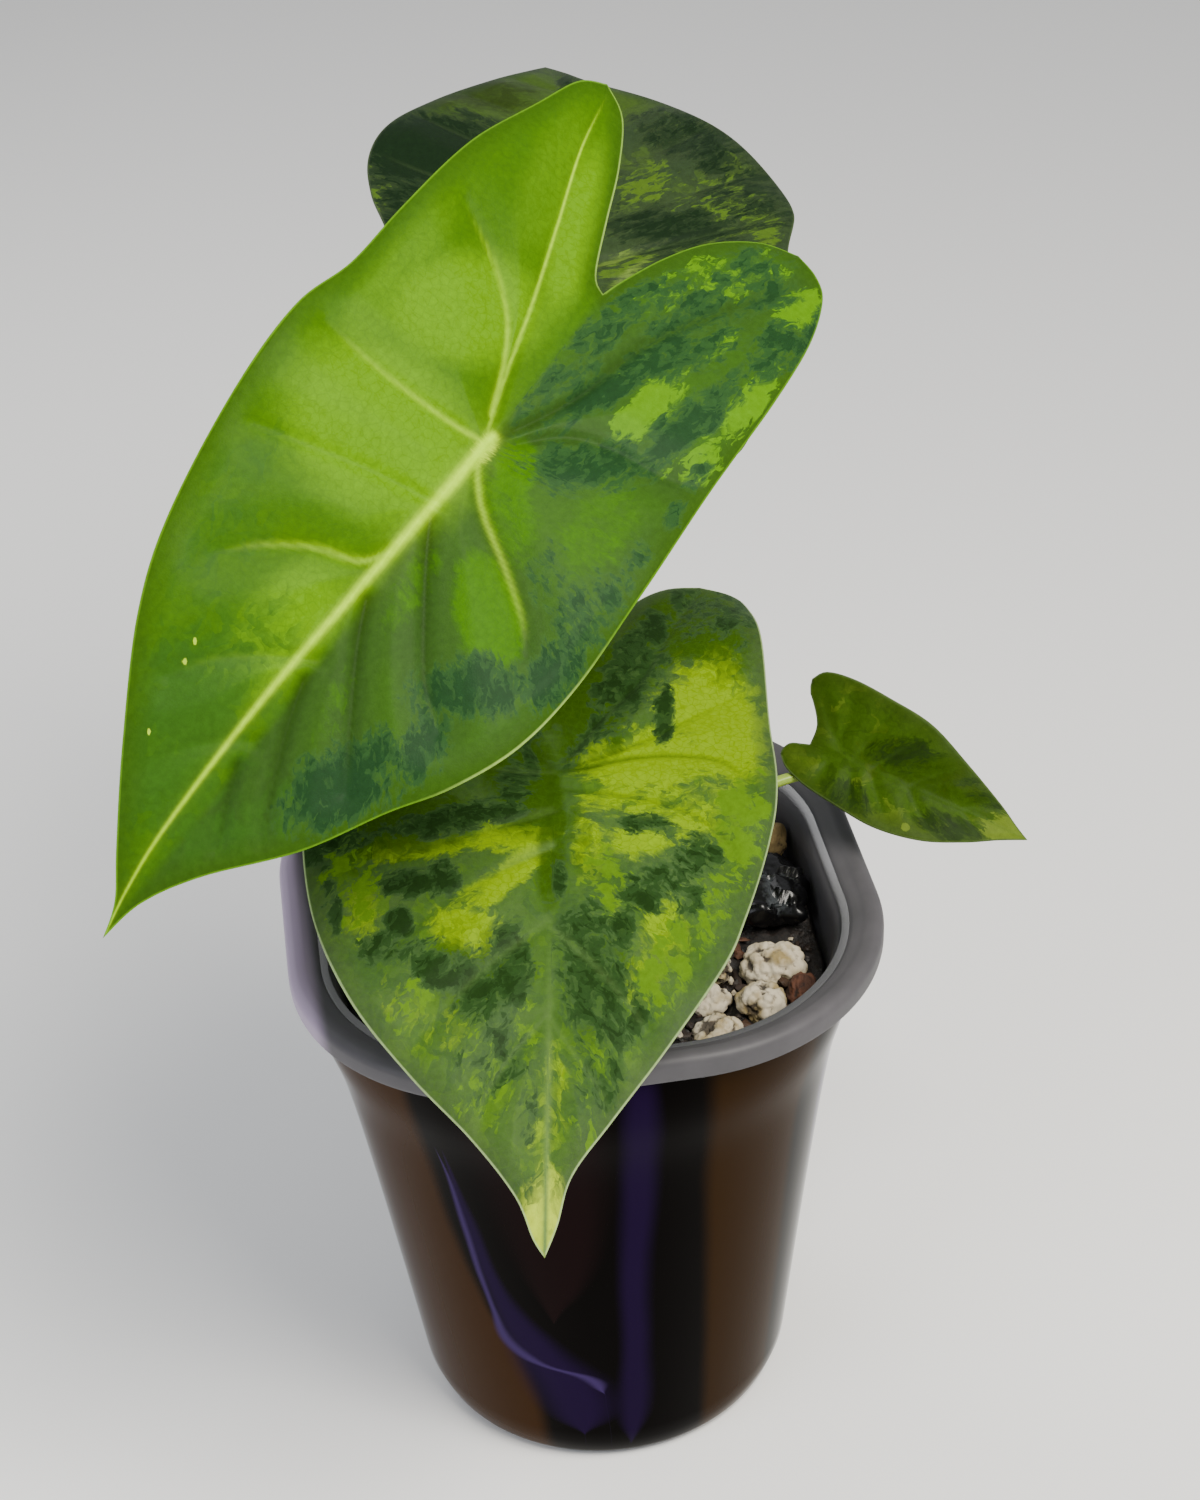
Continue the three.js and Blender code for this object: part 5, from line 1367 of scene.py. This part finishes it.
def solid_tree(names):
    """Search tree over the loaded solids, in mm."""
    points, faces = [], []
    for name in names:
        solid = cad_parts[name]
        start = len(points)
        points += [solid.matrix_world @ v.co / MM for v in solid.data.vertices]
        faces += [[start + i for i in p.vertices] for p in solid.data.polygons]
    return BVHTree.FromPolygons(points, faces)


def height_on(tree_, x, y, missing):
    """Height of a solid's top at a place, or the missing value where there is none."""
    hit = tree_.ray_cast(Vector((x, y, ABOVE_ALL)), Vector((0, 0, -1)))[0]
    return hit.z if hit else missing


def mix_half(z):
    return liner_half(z) - LINER_WALL - GAP


soil_tree = solid_tree(["soil"])
LUMP_NAMES = sorted(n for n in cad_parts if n.split("_")[0] in ("perlite", "charcoal", "bark", "pumice"))
lump_tree = solid_tree(LUMP_NAMES + ["stem"])


def mix_material():
    material, tree, shader = new_material("wet_coir_and_bark_mix")
    place = add(tree, "ShaderNodeTexCoord").outputs["Object"]
    grain, clod = noisy(tree, place, 900.0, 6.0, 0.7), noisy(tree, place, 160.0, 3.0)
    colour = mixed(tree, mapped(tree, grain, 0.48, 0.72), linear("#0c0806"), linear("#241811"))
    finish_surface(tree, shader, colour, mapped(tree, clod, 0.4, 0.65, 0.35, 0.8),
                   Normal=bumped(tree, grain, 0.8, 0.0006))
    return material


def build_mix(material):
    low = OUTER_FLOOR + GAP + LINER_FLOOR + GAP
    rings = [(float(mix_half(MIX_TOP)) * (1 - i / MIX_RINGS), MIX_TOP) for i in range(MIX_RINGS + 1)]
    profile = [(0, low), (float(mix_half(6)) - 3.6, low), *wall(mix_half, 8, MIX_TOP - 3, 24), *rings]
    points, faces = turned(profile, LINER_SOFTNESS, MIX_SIDES)
    for i in np.nonzero(points[:, 2] > MIX_TOP - 0.01)[0]:
        x, y, _ = points[i]
        out = math.hypot(x, y)
        z = max(height_on(soil_tree, x * MIX_INSIDE, y * MIX_INSIDE, MIX_TOP), MIX_TOP - MIX_DEEPEST)
        clods, grit = noise.fractal(Vector((x, y, 3)) * 0.28, 0.6, 2.1, 3), noise.noise(Vector((x, y, 9)) * 1.3)
        edge = min(1, (float(mix_half(MIX_TOP)) - out) / 3) if out > 30 else 1
        z += (clods * CLOD_HEIGHT + grit * GRIT_HEIGHT) * max(edge, 0.3)
        narrower = min(1.0, float(mix_half(min(z, MIX_TOP)) / mix_half(MIX_TOP)))
        points[i] = x * narrower, y * narrower, z
    return make_piece("mix_bed", points, faces, material, ["soil"])


mix_bed = build_mix(mix_material())
print("mix faces:", len(mix_bed.data.polygons))

# %% [markdown]
# ## Loose crumbs
# Crumbs and slivers lie all over the bed, each an uneven little block, in tones from wet coir to
# bark, and small bits of perlite lie between them. Thousands of objects would slow Blender down, so
# each kind is one mesh, and every crumb keeps a number that picks its tone. A seed makes the scatter
# come out the same each time.

# %% Loose crumbs
CRUMB_COUNTS = {"coir": 1500, "bark": 420, "perlite": 150}
random.seed(11)


def rough_block(size, detail=1, rough=0.22):
    """Points and triangles of an uneven block of about the given size."""
    shape = bmesh.new()
    bmesh.ops.create_icosphere(shape, subdivisions=detail, radius=0.5)
    seed_ = Vector((random.random(), random.random(), random.random())) * 90
    points = []
    for v in shape.verts:
        swell = 1 + rough * 2 * noise.noise(v.co * 2.3 + seed_) + rough * (random.random() - 0.5)
        points.append([v.co[k] * size[k] * swell for k in range(3)])
    faces = [[v.index for v in f.verts] for f in shape.faces]
    shape.free()
    return np.array(points), np.array(faces)


def scatter(name, count, make_size, material, detail, sink):
    """Loose crumbs over the mix, joined in one piece."""
    all_points, all_faces, tones, start = [], [], [], 0
    while len(tones) < count:
        turn, out = random.random() * 2 * math.pi, math.sqrt(random.random())
        reach = float(square_reach(np.array(turn - POT_TURN), softness_at(LINER_SOFTNESS, MIX_TOP)))
        reach *= float(mix_half(MIX_TOP))
        size = make_size()
        x, y = (out * (reach - 0.8 - max(size) / 2) * f(turn) for f in (math.cos, math.sin))
        if height_on(lump_tree, x, y, None) is not None:
            continue
        z = height_on(soil_tree, x, y, MIX_TOP)
        points, faces = rough_block(size, detail)
        spin = Matrix.Rotation(random.random() * 2 * math.pi, 3, "Z") @ Matrix.Rotation(random.gauss(0, 0.45), 3, "X")
        points = points @ np.array(spin).T + [x, y, z + size[2] * sink]
        all_points.append(points)
        all_faces.append(faces + start)
        tones.append(np.full(len(points), random.random()))
        start += len(points)
    piece = make_piece(name, np.vstack(all_points), np.vstack(all_faces), material)
    piece.data.polygons.foreach_set("use_smooth", np.zeros(len(piece.data.polygons), bool))
    store(piece.data, "tone", np.concatenate(tones))
    return piece


def crumb_material(name, tones, roughness):
    """Each crumb has one of the tones, by the number it was given, and a fine grain."""
    material, tree, shader = new_material(name)
    tone, place = stored(tree, "tone"), add(tree, "ShaderNodeTexCoord").outputs["Object"]
    grain = noisy(tree, place, 1500.0, 5.0, 0.65)
    colour = linear(tones[0])
    for step, next_tone in enumerate(tones[1:], 1):
        share = step / len(tones)
        colour = mixed(tree, mapped(tree, tone, share - 0.03, share + 0.03), colour, linear(next_tone))
    shade = mapped(tree, grain, 0.3, 0.7, 0.55, 1.2)
    colour = add(tree, "ShaderNodeVectorMath", {0: colour, 1: shade}, operation="MULTIPLY").outputs["Vector"]
    finish_surface(tree, shader, colour, roughness, Normal=bumped(tree, grain, 0.6, 0.0003))
    return material


coir_finish = crumb_material("wet_coir_crumbs", ["#0c0806", "#150e0a", "#1f150e", "#2c1e14"], 0.6)
bark_finish = crumb_material("fir_bark_slivers", ["#1f130c", "#38220f", "#4f2f1b", "#271b12"], 0.7)
grit_finish = crumb_material("perlite_grit", ["#b3a890", "#9b8f78", "#c4bca6"], 0.9)
sizes = {  # of one crumb, in mm
    "coir": lambda: [random.uniform(0.7, 2.2), random.uniform(0.6, 1.6), random.uniform(0.5, 1.1)],
    "bark": lambda: [random.uniform(2.2, 5.2), random.uniform(1.1, 2.6), random.uniform(0.7, 1.4)],
    "perlite": lambda: [random.uniform(0.5, 1.6) for _ in range(3)],
}
loose = [
    scatter("bark_slivers", CRUMB_COUNTS["bark"], sizes["bark"], bark_finish, 2, 0.25),
    scatter("coir_crumbs", CRUMB_COUNTS["coir"], sizes["coir"], coir_finish, 1, 0.3),
    scatter("perlite_grit", CRUMB_COUNTS["perlite"], sizes["perlite"], grit_finish, 2, 0.5),
]
print("faces:", {piece.name: len(piece.data.polygons) for piece in loose})

# %% [markdown]
# ## Skins of perlite, charcoal, bark and pumice
# Perlite is glass foam, a cluster of round bubbles. Charcoal breaks in flat faces. Bark is layered
# along its length, and pumice is a dull tan stone, pitted with small holes. Each skin is a function
# that says how far the surface stands out at a point, built from Blender's own noises.

# %% Skins of perlite, charcoal, bark and pumice
def bubble_skin(p, seed_):
    """Round bubbles of two sizes with sharp hollows between them."""
    large = min(0.8, noise.voronoi((p + seed_) * 0.36)[0][0])
    small = min(0.8, noise.voronoi((p + seed_) * 0.95 + Vector((3, 1, 7)))[0][0])
    pits = max(0.0, noise.noise((p + seed_) * 1.9) - 0.25)
    return 2.1 * math.sqrt(0.66 - large ** 2) - 1.15 + 0.7 * (math.sqrt(0.66 - small ** 2) - 0.5) - 1.2 * pits


def broken_skin(p, seed_):
    """Flat faces some 6 mm across, each tilted its own way."""
    cell = noise.voronoi((p + seed_) * 0.2)
    tilt = Vector([noise.noise(cell[1][0] * 3.1 + Vector((9 * k, 4, k))) for k in range(3)]) * 4
    return tilt.dot((p + seed_) * 0.2 - cell[1][0]) * 0.9 + 0.12 * noise.noise((p + seed_) * 1.1)


def layered_skin(p, seed_):
    """Low ridges drawn out along the bark."""
    q = Vector((p.x * 1.1, p.y * 0.35, p.z * 1.6)) + seed_
    return 0.5 * noise.noise(q) + 0.28 * noise.noise(q * 2.7)


def pitted_skin(p, seed_):
    """A gently uneven stone with small round pits."""
    pits = noise.voronoi((p + seed_) * 0.9)[0][0]
    return 0.25 * noise.noise((p + seed_) * 0.6) - 0.5 * max(0, 0.35 - pits)


here = Vector((1, 2, 3))
for skin in (bubble_skin, broken_skin, layered_skin, pitted_skin):
    print(skin.__name__, "at one point:", round(skin(here, Vector()), 2))

# %% [markdown]
# ## The lumps' finish
# Perlite is chalky white and wet charcoal shines slightly. The mesh keeps how deep each point lies in
# the skin, so that the hollows can take a third tone: darker on perlite, bark and pumice, and on
# charcoal a pale grey that is a painted silvery highlight along the low edges of its faces.

# %% The lumps' finish
def skin_material(name, tones, roughness, scales, bump_depth, dirt, specular=0.5):
    """Three tones mixed by two grains and by the hollows of the skin."""
    material, tree, shader = new_material(name)
    place, hollow = add(tree, "ShaderNodeTexCoord").outputs["Object"], stored(tree, "hollow")
    broad, fine = noisy(tree, place, scales[0], 3.0), noisy(tree, place, scales[1], 5.0, 0.65)
    # the third tone in the hollows: darker on most lumps, a painted silvery highlight on charcoal
    deep = mapped(tree, maths(tree, "MULTIPLY_ADD", fine, 0.8, hollow), dirt, dirt + 0.3, 0.0, 0.9)
    colour = mixed(tree, mapped(tree, broad, 0.42, 0.62), linear(tones[0]), linear(tones[1]))
    colour = mixed(tree, deep, colour, linear(tones[2]))
    finish_surface(tree, shader, colour, roughness, **{"Specular IOR Level": specular,
                                                       "Normal": bumped(tree, fine, 0.5, bump_depth)})
    return material


# skin, its height in mm, rounds of smoothing, tones, roughness, scales of the two grains, bump depth in
# metres, where the hollows' third tone starts, and for charcoal how strongly it reflects
LUMP_LOOKS = {
    "perlite": (bubble_skin, 1.15, 2, ("#b8ae98", "#86764e", "#241b13"), 0.95, (240.0, 1500.0), 0.0004, 0.86),
    # charcoal's third tone, #3c4043, is a painted silvery highlight along the low edges of its faces
    "charcoal": (broken_skin, 1.3, 0, ("#050506", "#0b0b0c", "#3c4043"), 0.28, (160.0, 900.0), 0.00008, 1.16, 0.35),
    "bark": (layered_skin, 0.9, 1, ("#3c2012", "#552f1b", "#170d08"), 0.82, (300.0, 1500.0), 0.0004, 1.08),
    "pumice": (pitted_skin, 0.9, 2, ("#8d774e", "#75643f", "#33281a"), 0.92, (260.0, 1600.0), 0.0004, 1.08),
}
lump_finishes = {kind: skin_material(f"{kind}_skin", *look[3:]) for kind, look in LUMP_LOOKS.items()}
print("finishes:", [material.name for material in lump_finishes.values()])

# %% [markdown]
# ## Casting the lumps
# Each lump keeps the size and place of its solid: a fine ball round the solid's middle is cast onto
# it along straight rays, its corners are rounded off, and then the skin is raised.

# %% Casting the lumps
LUMP_DETAIL, SMOOTHINGS = 5, 3


def build_lump(name, kind, material, number):
    """A fine ball cast onto the solid from its middle, smoothed and raised by its skin."""
    skin, height, rounds, *_ = LUMP_LOOKS[kind]
    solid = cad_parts[name]
    middle = sum((solid.matrix_world @ v.co for v in solid.data.vertices), Vector()) / len(solid.data.vertices) / MM
    surface = solid_tree([name])
    shape = bmesh.new()
    bmesh.ops.create_icosphere(shape, subdivisions=LUMP_DETAIL, radius=1)
    for v in shape.verts:
        hit = surface.ray_cast(middle, v.co.normalized())[0]
        v.co = hit if hit else middle + v.co * 2
    for _ in range(rounds * SMOOTHINGS):
        bmesh.ops.smooth_vert(shape, verts=shape.verts, factor=0.6, use_axis_x=True, use_axis_y=True, use_axis_z=True)
    shape.normal_update()
    seed_ = Vector((13.7, 5.1, 8.3)) * number
    lifts = [skin(v.co - middle, seed_) for v in shape.verts]
    for v, lift, normal in zip(shape.verts, lifts, [v.normal.copy() for v in shape.verts]):
        v.co += normal * lift * height
    points = [list(v.co) for v in shape.verts]
    faces = [[v.index for v in f.verts] for f in shape.faces]
    shape.free()
    piece = make_piece("lump_" + name, points, faces, material, [name])
    low, high = np.percentile(lifts, (4, 96))
    store(piece.data, "hollow", 1 - np.clip((np.array(lifts) - low) / (high - low), 0, 1))
    return piece


for number, name in enumerate(LUMP_NAMES, 1):
    kind = name.split("_")[0]
    build_lump(name, kind, lump_finishes[kind], number)
print("lumps:", len(LUMP_NAMES))

# %% [markdown]
# ## Sizes
# The box of the solids and the box of the finer pieces that stand for them are both printed, so that
# they can be compared.

# %% Sizes
visual_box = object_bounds()
for name, box in (("cad", cad_box), ("visual", visual_box)):
    print(name, [[round(v / MM, 1) for v in corner] for corner in box], "mm")
